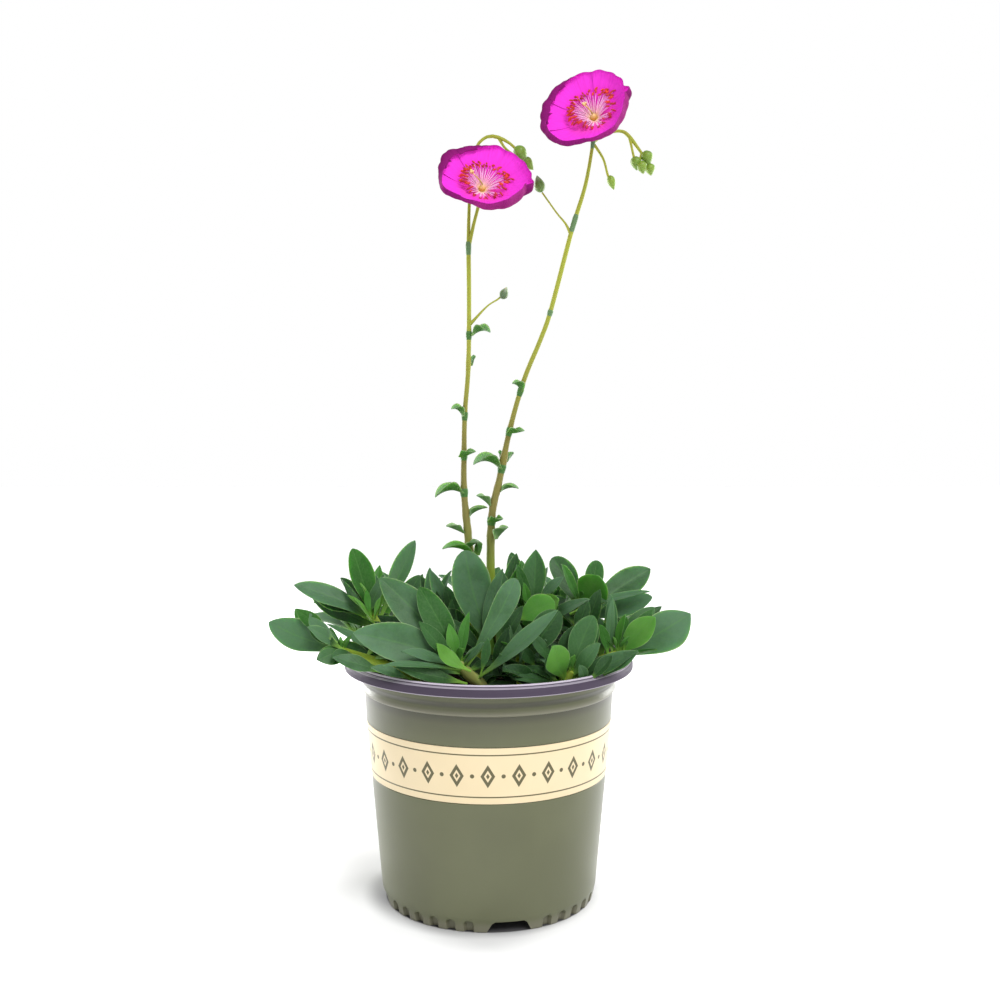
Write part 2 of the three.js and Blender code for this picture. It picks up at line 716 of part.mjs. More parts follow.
function stalkSolid({ stem: trunk, branches, buds, leaves, flower }) {
  const pieces = [stem(trunk), ...branches.map((points) => stem(points, 4))];
  buds.forEach(([[x, y, z, alongX, alongY, alongZ], length, radius]) => {
    pieces.push(bud(new THREE.Vector3(x, y, z), new THREE.Vector3(alongX, alongY, alongZ), length, radius));
  });
  leaves.forEach(([x, y, z, tipX, tipY, tipZ, width]) => {
    const base = new THREE.Vector3(x, y, z);
    const tip = new THREE.Vector3(tipX, tipY, tipZ);
    const faces = new THREE.Vector3(x, y, z + 40);
    pieces.push(leaf(base, tip, faces, { width, arch: 0.12, front: 0.7, thickness: 1.2 }));
  });
  pieces.push(receptacle(flower));
  return union(pieces);
}

// Flowers, each drawn about +Z with its base ring at the origin, then placed

function flowerPlace({ centre, faces, turn }) {
  const axis = new THREE.Vector3(...faces).normalize();
  const right = new THREE.Vector3(1, 0, 0);
  right.addScaledVector(axis, -right.dot(axis)).normalize();
  const forward = axis.clone().cross(right);
  const placed = new THREE.Matrix4().makeBasis(right, forward, axis);
  placed.multiply(new THREE.Matrix4().makeRotationZ(turn * DEGREE));
  return placed.setPosition(...centre);
}

function receptacle(flower) {
  const cone = stem([[0, 0, -7, 1.1], [0, 0, -3, 1.8], [0, 0, 0, 3.3]], 6);
  const sepals = [0, 1].map((i) => {
    const angle = (i + 0.25) * Math.PI;
    const tip = new THREE.Vector3(11 * Math.cos(angle), 11 * Math.sin(angle), -2.2);
    const above = new THREE.Vector3(0, 0, 30);
    return leaf(new THREE.Vector3(0, 0, -2), tip, above, { width: 9, arch: -0.05, thickness: 1 });
  });
  return union([cone, ...sepals]).transform(flowerPlace(flower).elements);
}

function petalHeight(r, v) {
  const reach = r / FLOWER_RADIUS;
  return 0.8 + FLOWER_CUP * reach ** 1.8 + 1.6 * v * reach;
}

// The share of the flower's radius that its petals reach at an angle, from rows of degrees and share.
function reachAt(rows, angle) {
  const turned = ((angle / DEGREE) % 360 + 360) % 360;
  const i = rows.findIndex(([degrees]) => degrees > turned);
  const [[low, from], [high, to]] = [rows[i - 1], rows[i]];
  return from + ((to - from) * (turned - low)) / (high - low);
}

function petal(index, reach) {
  const stations = [0.1, 0.4, 0.7, 0.92, 1];
  const across = [-1, -0.5, 0, 0.5, 1];
  const thickness = 0.7;
  const spread = 0.66 * (TURN / PETAL_COUNT);
  const middle = (index / PETAL_COUNT) * TURN;
  const rings = stations.map((u) => {
    const width = spread * (0.45 + 0.55 * Math.sin(Math.PI * Math.min(u, 0.7) / 1.4));
    const face = across.map((v) => {
      const corner = 1 - 0.1 * Math.abs(v) ** 3 * u;
      const angle = middle + v * width * (u > 0.9 ? 0.86 : 1);
      const r = FLOWER_RADIUS * u * corner;
      const point = new THREE.Vector3(r * Math.cos(angle), r * Math.sin(angle), petalHeight(r, v));
      return point.multiplyScalar(1 + u * (reachAt(reach, angle) - 1));
    });
    const back = face.map((point) => point.clone().setZ(point.z - thickness));
    return { face, back };
  });
  return solidOf(sheet(rings));
}

// A thin blade from rows of points on its two faces, split into triangles alike on both.
function sheet(rows) {
  const places = [];
  const corners = [];
  const wide = rows[0].face.length;
  const push = (point) => places.push(point.x, point.y, point.z);
  rows.forEach(({ face, back }) => [...face, ...back].forEach(push));
  const at = (row, column, back) => row * 2 * wide + (back ? wide : 0) + column;
  for (let i = 0; i + 1 < rows.length; i += 1) {
    for (let j = 0; j + 1 < wide; j += 1) {
      for (const back of [false, true]) {
        const [a, b] = [at(i, j, back), at(i, j + 1, back)];
        const [c, d] = [at(i + 1, j + 1, back), at(i + 1, j, back)];
        corners.push(...(back ? [a, c, b, a, d, c] : [a, b, c, a, c, d]));
      }
    }
    for (const j of [0, wide - 1]) {
      const [a, b] = [at(i, j, false), at(i + 1, j, false)];
      const [c, d] = [at(i + 1, j, true), at(i, j, true)];
      corners.push(...(j === 0 ? [a, b, c, a, c, d] : [a, c, b, a, d, c]));
    }
  }
  for (const i of [0, rows.length - 1]) {
    for (let j = 0; j + 1 < wide; j += 1) {
      const [a, b] = [at(i, j, false), at(i, j + 1, false)];
      const [c, d] = [at(i, j + 1, true), at(i, j, true)];
      corners.push(...(i === 0 ? [a, c, b, a, d, c] : [a, b, c, a, c, d]));
    }
  }
  const geometry = new THREE.BufferGeometry();
  geometry.setAttribute('position', new THREE.Float32BufferAttribute(places, 3));
  geometry.setIndex(corners);
  return geometry;
}

function ring(inner, outer, bottom, top) {
  const shape = new THREE.Shape().absarc(0, 0, outer, 0, TURN, false);
  shape.holes.push(new THREE.Path().absarc(0, 0, inner, 0, TURN, true));
  const depth = top - bottom;
  const geometry = new THREE.ExtrudeGeometry(shape, { depth, bevelEnabled: false, curveSegments: 5 });
  return solidOf(geometry.translate(0, 0, bottom));
}

function petalsSolid(flower) {
  const petals = Array.from({ length: PETAL_COUNT }, (_, i) => petal(i, flower.reach));
  const throat = new THREE.CylinderGeometry(2.4, 2.4, 12, 10).rotateX(Math.PI / 2);
  const whole = union([ring(1.5, 4.2, GAP, 1.5), ...petals]).subtract(solidOf(throat));
  return whole.transform(flowerPlace(flower).elements);
}

function stamensSolid(flower) {
  const base = 1.5 + GAP;
  const pieces = [ring(2.4, 3.8, base, base + 1)];
  for (let i = 0; i < STAMEN_COUNT; i += 1) {
    const angle = i * GOLDEN_ANGLE * DEGREE;
    const reach = 8.5 + 8.5 * ((i * 0.618) % 1);
    const height = 11.5 - 0.28 * reach;
    const out = (r, z, radius) => [r * Math.cos(angle), r * Math.sin(angle), z, radius];
    pieces.push(stem([
      out(3.2, base + 0.4, 0.4),
      out(reach - 1.2, height - 0.5, 0.4),
      out(reach, height, 1.1),
      out(reach + 1.2, height + 0.3, 0.4),
    ], 3));
  }
  return union(pieces).transform(flowerPlace(flower).elements);
}

function pistilSolid(flower) {
  const ovary = stem([[0, 0, GAP, 1.6], [0, 0, 2.6, 2.0], [0, 0, 4.6, 1.2], [0, 0, 7, 0.7], [0, 0, 8.6, 1.5]], 6);
  return ovary.transform(flowerPlace(flower).elements);
}

// The plant in its pot

const shoots = { ...PLACED_SHOOTS };
for (const [name, shoot] of Object.entries(RULED_SHOOTS)) {
  shoots[name] = { ...shoot, leaves: ruledLeaves(shoot) };
}
const feet = Object.values(shoots).map(({ foot: [x, y] }) => {
  return [x, y, STEM_RADIUS, SOIL_TOP + SOIL_CROWN - STEM_DEPTH];
});
Object.values(STALKS).forEach(({ stem: [[x, y, z, radius]] }) => feet.push([x, y, radius, z]));

const purslane = new THREE.Group();
purslane.add(meshOf('pot', potSolid(), materials.pot));
purslane.add(meshOf('rim', rimSolid(), materials.rim));
purslane.add(meshOf('label_band', labelSolid(), materials.label));
purslane.add(meshOf('soil', soilSolid(feet), materials.soil));
for (const [name, shoot] of Object.entries(shoots)) {
  purslane.add(meshOf(`shoot_${name}`, shootSolid(shoot), materials.leaf));
}
for (const [name, stalk] of Object.entries(STALKS)) {
  purslane.add(meshOf(`flower_stalk_${name}`, stalkSolid(stalk), materials.stalk));
  purslane.add(meshOf(`petals_${name}`, petalsSolid(stalk.flower), materials.petal));
  purslane.add(meshOf(`stamens_${name}`, stamensSolid(stalk.flower), materials.stamen));
  purslane.add(meshOf(`pistil_${name}`, pistilSolid(stalk.flower), materials.pistil));
}

export default purslane;
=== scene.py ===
import math
import random

import bmesh
import bpy
import numpy as np
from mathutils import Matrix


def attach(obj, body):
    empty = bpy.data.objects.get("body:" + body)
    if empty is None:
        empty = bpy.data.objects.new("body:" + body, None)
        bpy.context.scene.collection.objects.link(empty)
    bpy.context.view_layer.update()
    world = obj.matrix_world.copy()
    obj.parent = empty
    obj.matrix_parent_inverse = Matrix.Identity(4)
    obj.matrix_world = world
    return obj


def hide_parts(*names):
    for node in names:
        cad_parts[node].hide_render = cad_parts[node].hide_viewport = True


MM = 0.001
TURN = 2 * math.pi
GOLDEN_ANGLE = math.radians(137.5)
UP = np.array([0, 0, 1.0])
FRONT = np.array([0.0, -1.0, 0.35])
VALUES = ("tone", "along", "across", "under")
SHARP_ANGLE = math.radians(38)
WHITE = (1.0, 1.0, 1.0)

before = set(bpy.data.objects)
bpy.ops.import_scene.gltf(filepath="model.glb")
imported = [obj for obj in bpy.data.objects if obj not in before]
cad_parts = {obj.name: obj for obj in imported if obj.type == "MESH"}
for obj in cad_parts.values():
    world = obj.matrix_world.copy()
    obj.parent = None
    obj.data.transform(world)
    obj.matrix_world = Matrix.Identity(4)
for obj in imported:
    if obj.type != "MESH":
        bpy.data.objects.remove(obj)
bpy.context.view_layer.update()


# Camera, light and floor, in metres and degrees

LENS = 46.89
SENSOR = 36
CAMERA_PLACE = (0.0064, -0.7388, 0.2946)
CAMERA_TILT = 84.91
SUN_POWER = 2.0
SUN_WIDTH = 28
SUN_TURN = (42, 0, 32)
STRIP_TARGET = (0, 0, 0.12)
# Each strip's place, its width and height, and its power.
STRIPS = {
    "left_strip": ((-0.75, 0.75, 0.3), (0.5, 0.9), 15),
    "right_strip": ((0.8, 0.7, 0.3), (0.4, 0.9), 9.8),
}
SKY_TOP = (0.45, 0.45, 0.47)
FLOOR_SIZE = 6
FLOOR_DROP = 0.0002


def add_camera():
    data = bpy.data.cameras.new("camera")
    data.sensor_width = SENSOR
    data.lens = LENS
    camera = bpy.data.objects.new("camera", data)
    camera.location = CAMERA_PLACE
    camera.rotation_euler = (math.radians(CAMERA_TILT), 0, 0)
    bpy.context.collection.objects.link(camera)
    bpy.context.scene.camera = camera


def add_light(name, kind, power, place=(0, 0, 0), turn=(0, 0, 0), **settings):
    data = bpy.data.lights.new(name, kind)
    data.energy = power
    for setting, value in settings.items():
        setattr(data, setting, value)
    light = bpy.data.objects.new(name, data)
    light.location = place
    light.rotation_euler = turn
    bpy.context.collection.objects.link(light)


def add_lights():
    """A wide soft sun from the front, and a strip on each side behind the pot for its pale edges."""
    turn = [math.radians(angle) for angle in SUN_TURN]
    add_light("sun", "SUN", SUN_POWER, turn=turn, angle=math.radians(SUN_WIDTH))
    for name, (place, size, power) in STRIPS.items():
        x, y, z = np.array(STRIP_TARGET) - np.array(place)
        turn = (math.atan2(math.hypot(x, y), -z), 0, math.atan2(-x, y))
        add_light(name, "AREA", power, place, turn, shape="RECTANGLE", size=size[0], size_y=size[1])


def add_sky():
    """Even white light from all sides, dimmer from above."""
    world = bpy.data.worlds.new("studio")
    world.use_nodes = True
    graph = Graph(world.node_tree)
    way = graph.put("ShaderNodeSeparateXYZ", {0: graph.put("ShaderNodeTexCoord").outputs["Generated"]})
    height = graph.between(way.outputs["Z"], 0.3, 0.75)
    graph.set(world.node_tree.nodes["Background"].inputs["Color"], graph.mix(height, WHITE, SKY_TOP))
    bpy.context.scene.world = world
    bpy.context.scene.view_settings.view_transform = "Standard"


def add_floor():
    bpy.ops.mesh.primitive_plane_add(size=FLOOR_SIZE, location=(0, 0, -FLOOR_DROP))
    floor = bpy.context.object
    floor.name = "floor"
    floor.data.materials.append(floor_material())


# Materials. Colours are linear red, green and blue.

class Graph:
    """Short names for the nodes that the world and the materials are made of."""

    def __init__(self, tree):
        self.tree = tree

    def put(self, kind, inputs=(), **settings):
        node = self.tree.nodes.new(kind)
        for name, value in settings.items():
            setattr(node, name, value)
        for key, value in dict(inputs).items():
            self.set(node.inputs[key], value)
        return node

    def set(self, socket, value):
        if isinstance(value, bpy.types.NodeSocket):
            self.tree.links.new(value, socket)
        elif isinstance(value, tuple) and len(value) == 3 and socket.type == "RGBA":
            socket.default_value = (*value, 1)
        else:
            socket.default_value = value

    def value(self, name):
        return self.put("ShaderNodeAttribute", attribute_name=name).outputs["Fac"]

    def place(self):
        return self.put("ShaderNodeTexCoord").outputs["Object"]

    def of_place(self, operation, vector):
        return self.put("ShaderNodeVectorMath", {0: self.place(), 1: vector}, operation=operation).outputs

    def split_place(self):
        parts = self.put("ShaderNodeSeparateXYZ", {0: self.place()})
        return [parts.outputs[axis] for axis in "XYZ"]

    def level(self):
        """The height above the floor in millimetres."""
        return self.times(self.split_place()[2], 1 / MM)

    def math(self, operation, *values):
        return self.put("ShaderNodeMath", dict(enumerate(values)), operation=operation).outputs[0]

    def add(self, a, b):
        return self.math("ADD", a, b)

    def times(self, first, *others):
        for other in others:
            first = self.math("MULTIPLY", first, other)
        return first

    def most(self, first, *others):
        for other in others:
            first = self.math("MAXIMUM", first, other)
        return first

    def size(self, value):
        return self.math("ABSOLUTE", value)

    def noise(self, scale, detail=3.0, vector=None):
        inputs = {"Scale": scale, "Detail": detail, "Vector": vector or self.place()}
        return self.put("ShaderNodeTexNoise", inputs).outputs["Fac"]

    def between(self, value, low, high, to_low=0.0, to_high=1.0):
        """A smooth step that goes from to_low to to_high while the value goes from low to high."""
        inputs = {0: value, 1: low, 2: high, 3: to_low, 4: to_high}
        return self.put("ShaderNodeMapRange", inputs, interpolation_type="SMOOTHSTEP").outputs[0]

    def band(self, value, rise, fall, share=1.0):
        """A share that comes up over one pair of values and goes down over another."""
        return self.times(self.between(value, *rise), self.between(value, *reversed(fall), 0.0, share))

    def mix(self, share, a, b):
        inputs = {"Factor": share, 6: a, 7: b}
        return self.put("ShaderNodeMix", inputs, data_type="RGBA").outputs[2]

    def ramp(self, value, stops):
        node = self.put("ShaderNodeValToRGB", {"Fac": value})
        elements = node.color_ramp.elements
        while len(elements) < len(stops):
            elements.new(0.5)
        for element, (place, colour) in zip(elements, stops):
            element.position = place
            element.color = (*colour, 1)
        return node.outputs["Color"]

    def bump(self, height, distance, strength):
        inputs = {"Height": height, "Distance": distance, "Strength": strength}
        return self.put("ShaderNodeBump", inputs).outputs["Normal"]


class Look(Graph):
    """The nodes of a new material. Its shader takes settings by name, and colours are laid on in turn."""

    def __init__(self, name, roughness, **settings):
        self.material = bpy.data.materials.new(name)
        self.material.use_nodes = True
        super().__init__(self.material.node_tree)
        self.shader = self.tree.nodes["Principled BSDF"]
        self.colour = WHITE
        for label, value in {"Roughness": roughness, **settings}.items():
            self.shader.inputs[label.replace("_", " ")].default_value = value

    def lay(self, colour, share):
        self.colour = self.mix(share, self.colour, colour)

    def fade(self, colour, value, start, full, most=1.0):
        """Lays a colour on up to a share, while a value goes from start to full."""
        self.lay(colour, self.between(value, start, full, 0.0, most))

    def finish(self, height=None, distance=0.0001, strength=0.5):
        """Gives the shader the colour, and a bump where there is a height, and returns the material."""
        self.set(self.shader.inputs["Base Color"], self.colour)
        if height is not None:
            self.set(self.shader.inputs["Normal"], self.bump(height, distance, strength))
        return self.material


# Painted shadows on the floor: how far the middle lies to the right, where the painted shadow starts and is
# full, its colour.
FLOOR_SHADES = (
    (-20, 108, 60, (0.8, 0.8, 0.8)),
    (-5, 70, 58, (0.5, 0.5, 0.5)),
    (0, 60.5, 59.1, (0.075, 0.074, 0.078)),
)


def floor_material():
    """White, with a soft painted shadow to the pot's left and a deep painted shadow beneath it, which the
    notches show.
    """
    look = Look("floor", 0.9)
    for shift, outer, inner, dark in FLOOR_SHADES:
        reach = look.of_place("DISTANCE", (shift * MM, 0, 0))["Value"]
        # Lays on one painted shadow.
        look.fade(dark, reach, outer * MM, inner * MM)
    return look.finish()


# How much light goes into leaves, stems and buds, and how far.
LEAF_LIGHT = {"Subsurface_Weight": 0.2, "Subsurface_Radius": (0.5, 1.0, 0.2)}
STEM_LIGHT = {"Subsurface_Weight": 0.1, "Subsurface_Scale": 0.002}
# The colour of a leaf by its tone: old dark leaves, dusty blue-green ones, deep green ones, young ones.
LEAF_TONES = (
    (0.0, (0.008, 0.038, 0.007)),
    (0.18, (0.026, 0.082, 0.02)),
    (0.3, (0.07, 0.158, 0.072)),
    (0.4, (0.046, 0.13, 0.038)),
    (0.52, (0.018, 0.086, 0.01)),
    (0.75, (0.06, 0.22, 0.028)),
    (1.0, (0.15, 0.35, 0.055)),
)
LEAF_BLOOM = (0.11, 0.205, 0.13)
LEAF_SPECK = (0.14, 0.25, 0.1)
LEAF_VEIN = (0.09, 0.22, 0.05)
LEAF_MIDRIB = (0.1, 0.26, 0.06)
LEAF_EDGE = (0.24, 0.4, 0.17)
LEAF_FOOT = (0.22, 0.42, 0.05)
LEAF_BACK = (0.06, 0.17, 0.03)
VEINS_ALONG = 62.0
VEINS_SLANT = -16.0


def leaf_material():
    """A waxy leaf. Its tone sets the green, and the dusty tones get a pale bloom towards the tip."""
    look = Look("leaf", 0.45, Subsurface_Scale=0.003, Specular_IOR_Level=0.18, **LEAF_LIGHT)
    along, tone = look.value("along"), look.value("tone")
    across = look.size(look.value("across"))
    cloud = look.noise(90.0, 4.0)
    look.colour = look.ramp(look.add(tone, look.between(cloud, 0.3, 0.7, -0.03, 0.03)), LEAF_TONES)
    bloom = look.times(look.between(along, 0.3, 0.95, 0.0, 0.4), look.between(tone, 0.5, 0.36))
    bloom = look.times(bloom, look.between(tone, 0.1, 0.3, 0.3, 1.0), look.between(cloud, 0.3, 0.6, 0.5, 1.0))
    look.lay(LEAF_BLOOM, bloom)
    look.fade(LEAF_SPECK, look.noise(900.0, 2.0), 0.35, 0.7, 0.1)
    veins = look.math("SINE", look.add(look.times(along, VEINS_ALONG), look.times(across, VEINS_SLANT)))
    look.lay(LEAF_VEIN, look.times(look.between(veins, 0.55, 1.0), look.between(across, 0.95, 0.2, 0.0, 0.1)))
    look.fade(LEAF_MIDRIB, across, 0.09, 0.0, 0.25)
    look.fade(LEAF_EDGE, across, 0.95, 1.0, 0.6)
    look.fade(LEAF_FOOT, along, 0.34, 0.04, 0.75)
    look.lay(LEAF_BACK, look.times(look.value("under"), 0.35))
    return look.finish(look.add(look.times(veins, 0.25), look.noise(700.0, 2.0)), strength=0.4)


# The upper and the lower face of a clasping leaf by its tone.
CLASPING_UPPER = ((0.0, (0.06, 0.2, 0.02)), (0.4, (0.14, 0.25, 0.12)), (1.0, (0.25, 0.36, 0.22)))
CLASPING_LOWER = ((0.0, (0.05, 0.19, 0.014)), (0.4, (0.045, 0.13, 0.025)), (1.0, (0.13, 0.23, 0.1)))
CLASPING_TIP = (0.3, 0.42, 0.27)
CLASPING_FOOT = (0.14, 0.27, 0.04)
CLASPING_EDGE = (0.4, 0.5, 0.33)
CLASPING_SPECK = (0.22, 0.34, 0.18)


def stalk_leaf_material():
    """The clasping leaves up the stalks: dusty pale on the upper face, green below and at the foot."""
    look = Look("stalk_leaf", 0.5, Subsurface_Scale=0.002, Specular_IOR_Level=0.3, **LEAF_LIGHT)
    along, tone = look.value("along"), look.value("tone")
    across = look.size(look.value("across"))
    look.colour = look.ramp(tone, CLASPING_UPPER)
    look.lay(look.ramp(tone, CLASPING_LOWER), look.value("under"))
    look.fade(CLASPING_TIP, along, 0.65, 1.0, 0.55)
    look.fade(CLASPING_FOOT, along, 0.35, 0.0, 0.6)
    look.fade(CLASPING_EDGE, across, 0.9, 1.0, 0.4)
    look.fade(CLASPING_SPECK, look.noise(700.0), 0.4, 0.7, 0.1)
    return look.finish(look.noise(500.0), 0.00005, 0.3)


# A stem's colour by its height, from this low to this high.
STALK_SPAN = (170, 360)
STALK_COLOURS = (
    (0.0, (0.24, 0.35, 0.03)),
    (0.06, (0.19, 0.22, 0.045)),
    (0.17, (0.195, 0.176, 0.052)),
    (0.5, (0.21, 0.19, 0.045)),
    (1.0, (0.34, 0.37, 0.05)),
)
STALK_STREAK = (0.13, 0.12, 0.03)
STALK_BLUSH = (0.55, 0.5, 0.25)
STREAK_SCALE = (900.0, 900.0, 30.0)


def stalk_material():
    look = Look("stalk", 0.5, Specular_IOR_Level=0.15, **STEM_LIGHT)
    look.colour = look.ramp(look.between(look.level(), *STALK_SPAN), STALK_COLOURS)
    streak = look.noise(1.0, 3.0, look.of_place("MULTIPLY", STREAK_SCALE)[0])
    look.fade(STALK_STREAK, streak, 0.4, 0.8, 0.12)
    look.fade(STALK_BLUSH, look.value("tone"), 0.0, 1.0)
    return look.finish(streak, 0.00004, 0.2)


BUD_TONES = ((0.0, (0.085, 0.135, 0.07)), (0.5, (0.135, 0.25, 0.022)), (1.0, (0.24, 0.36, 0.035)))
BUD_SEAM = (0.34, 0.52, 0.11)
# A pale painted highlight at a bud's tip, strongest on the dark buds, which point up.
BUD_TIP_HIGHLIGHT = (0.5, 0.6, 0.4)


def bud_material():
    look = Look("bud", 0.45, **STEM_LIGHT)
    tone = look.value("tone")
    look.colour = look.ramp(tone, BUD_TONES)
    look.fade(BUD_SEAM, look.size(look.value("across")), 0.2, 0.0, 0.5)
    # Painted highlight at the tip.
    tip = look.between(look.value("along"), 0.5, 1.0, 0.0, 0.7)
    look.lay(BUD_TIP_HIGHLIGHT, look.times(tip, look.between(tone, 0.7, 0.2, 0.1, 1.0)))
    return look.finish(look.noise(500.0), 0.0002, 0.4)


PETAL_BRIGHT = (0.88, 0.05, 0.72)
PETAL_DEEP = (0.5, 0.012, 0.36)
PETAL_INSIDE = ((0.0, (0.85, 0.35, 0.5)), (0.22, (0.86, 0.07, 0.5)), (0.5, PETAL_BRIGHT), (1.0, PETAL_BRIGHT))
PETAL_BACK = ((0.09, 0.004, 0.05), (0.24, 0.012, 0.15))
# The outside turns pinker towards the rim: partly the thin margin's own colour, partly painted light through
# it.
PETAL_BACK_EDGE = (0.3, 0.014, 0.2)
# Painted light on the outside of the front petal, which faces the light.
FRONT_PETAL_BACK_LIT = (0.45, 0.03, 0.24)
# A petal's across value goes from -1 to 1, and is this much more for each petal before it.
PETAL_STRIDE = 3.0
FRONT_PETAL_EDGE = 10.9


def petal_material():
    """Magenta with deeper veins inside, dark mauve outside, pinker outside near the rim, partly by painted
    light, and a little brighter outside on the front petal by painted light.
    """
    look = Look("petal", 0.8, Specular_IOR_Level=0.04)
    along, across = look.value("along"), look.value("across")
    spread = look.put("ShaderNodeCombineXYZ", {0: look.times(across, 34.0), 1: look.times(along, 1.6)})
    veins = look.noise(1.0, 4.0, spread.outputs[0])
    look.colour = look.ramp(along, PETAL_INSIDE)
    look.fade(PETAL_DEEP, veins, 0.5, 0.72, 0.36)
    look.fade(PETAL_DEEP, along, 0.93, 1.0, 0.5)
    inside, look.colour = look.colour, look.mix(veins, *PETAL_BACK)
    look.fade(PETAL_BACK_EDGE, along, 0.85, 1.0, 0.5)
    look.fade(FRONT_PETAL_BACK_LIT, across, FRONT_PETAL_EDGE, FRONT_PETAL_EDGE + 0.8, 0.3)
    look.colour = look.mix(look.value("under"), inside, look.colour)
    return look.finish(veins, 0.0004)


# Cream to pink up a filament, and dark to bright red on the anthers.
STAMEN_TONES = (
    (0.0, (0.95, 0.72, 0.35)),
    (0.12, (0.95, 0.62, 0.7)),
    (0.3, (0.95, 0.55, 0.85)),
    (0.5, (0.85, 0.25, 0.66)),
    (0.58, (0.36, 0.012, 0.02)),
    (1.0, (0.8, 0.07, 0.02)),
)
PISTIL_COLOURS = ((0.0, (0.35, 0.38, 0.05)), (0.55, (0.62, 0.42, 0.04)), (1.0, (0.9, 0.7, 0.3)))


def grainy_material(name, roughness, value, stops):
    """A colour that follows one value of the piece, with a fine grain."""
    look = Look(name, roughness)
    look.colour = look.ramp(look.value(value), stops)
    return look.finish(look.noise(1500.0))


PLASTIC_GRAIN = 0.00004
PLASTIC_CLOUD = 0.88
RIM_COLOUR = (0.07, 0.055, 0.083)
# The colour of the rim's painted highlights.
RIM_HIGHLIGHT_COLOUR = (0.7, 0.64, 0.74)
# Heights on the rim where a pale painted highlight runs round it, how far that reaches, and how strong it is.
RIM_PAINTED_HIGHLIGHTS = ((139.85, 0.8, 0.8), (138.45, 0.45, 0.45), (133.9, 0.4, 0.55))
POT_COLOUR = (0.11, 0.118, 0.059)
# Painted shade for the collar's groove, a painted highlight for its bead, and a painted shadow under the
# collar.
POT_GROOVE_SHADE = (0.045, 0.044, 0.03)
POT_BEAD_HIGHLIGHT = (0.21, 0.2, 0.15)
POT_SHADE = (0.05, 0.049, 0.033)
POT_FOOT = (0.2, 0.185, 0.145)


def plastic(name, roughness, colour, **settings):
    """A look that starts with a colour and soft clouds of a darker one."""
    look = Look(name, roughness, **settings)
    look.colour = colour
    darker = tuple(PLASTIC_CLOUD * share for share in colour)
    look.fade(darker, look.noise(14.0, 3.0), 0.35, 0.65)
    return look


def rim_material():
    """Dark violet plastic, with pale painted highlights on its ridges and along its lower lip."""
    look = plastic("rim_plastic", 0.55, RIM_COLOUR, Specular_IOR_Level=0.1)
    level = look.level()
    painted_highlights = []
    for height, reach, share in RIM_PAINTED_HIGHLIGHTS:
        away = look.size(look.add(level, -height))
        painted_highlights.append(look.between(away, reach, 0.3 * reach, 0.0, share))
    # Lays on the painted highlights.
    look.lay(RIM_HIGHLIGHT_COLOUR, look.most(*painted_highlights))
    return look.finish(look.noise(900.0, 2.0), PLASTIC_GRAIN)


def pot_material():
    """Olive plastic, with painted shade in the collar's groove, a painted highlight on its bead, and a
    painted shadow on the wall close under the collar.
    """
    look = plastic("pot_plastic", 0.32, POT_COLOUR)
    level = look.level()
    up = look.add(level, -COLLAR_BOTTOM)
    # Painted shade in the groove, then a painted highlight on the bead.
    look.lay(POT_GROOVE_SHADE, look.band(up, (3.8, 5.6), (6.9, 8.4), 0.85))
    look.lay(POT_BEAD_HIGHLIGHT, look.band(up, (-0.1, 0.3), (1.0, 3.6), 0.6))
    # Painted shadow on the wall close under the collar, fading out down towards the label.
    below = look.times(look.between(up, -6, -0.6, 0.3, 0.8), look.between(up, 0.1, -0.3))
    look.lay(POT_SHADE, look.times(below, look.between(level, LABEL_TOP, COLLAR_BOTTOM - 5)))
    look.fade(POT_FOOT, level, 7, 1.5, 0.5)
    return look.finish(look.noise(900.0, 2.0), PLASTIC_GRAIN)


# The band's ornament: lozenges with a core, dots between them, and a thin line along each edge.
ORNAMENT_REPEATS = 26
LOZENGE_HALF = (3.9, 6.4)
LOZENGE_RING = (0.52, 1.0)
LOZENGE_CORE = 0.25
LOZENGE_BLUR = 0.02
DOT_RADIUS = 1.15
DOT_BLUR = 0.06
LINE_PLACE = 11.6
LINE_HALF = 0.38
LINE_BLUR = 0.04
LABEL_PAPER = ((0.72, 0.595, 0.375), (0.74, 0.615, 0.395))
LABEL_INK = (0.107, 0.095, 0.042)


def label_material():
    look = Look("label", 0.42)
    x, y, z = look.split_place()
    turn = look.times(look.math("ARCTAN2", y, x), ORNAMENT_REPEATS / TURN)
    pitch = TURN * LABEL_MIDDLE_RADIUS / ORNAMENT_REPEATS
    dz = look.size(look.add(look.times(z, 1 / MM), -0.5 * (LABEL_BOTTOM + LABEL_TOP)))
    dx = look.times(look.size(look.add(look.math("FRACT", turn), -0.5)), pitch)

    def within(value, edge, blur):
        """Full inside an edge, or with a blur below 0 outside it."""
        return look.between(value, edge + blur, edge - blur)

    lozenge = look.add(look.times(dx, 1 / LOZENGE_HALF[0]), look.times(dz, 1 / LOZENGE_HALF[1]))
    inner, outer = LOZENGE_RING
    ring = look.times(within(lozenge, outer, LOZENGE_BLUR), within(lozenge, inner, -LOZENGE_BLUR))
    core = within(lozenge, LOZENGE_CORE, LOZENGE_BLUR)
    to_dot = look.add(look.times(dx, -1.0), pitch / 2)
    reach = look.math("SQRT", look.add(look.times(to_dot, to_dot), look.times(dz, dz)))
    dot = within(reach, DOT_RADIUS, DOT_BLUR)
    line = within(look.size(look.add(dz, -LINE_PLACE)), LINE_HALF, LINE_BLUR)
    look.colour = look.mix(look.between(look.noise(30.0), 0.3, 0.7), *LABEL_PAPER)
    look.lay(LABEL_INK, look.most(ring, core, dot, line))
    return look.finish()


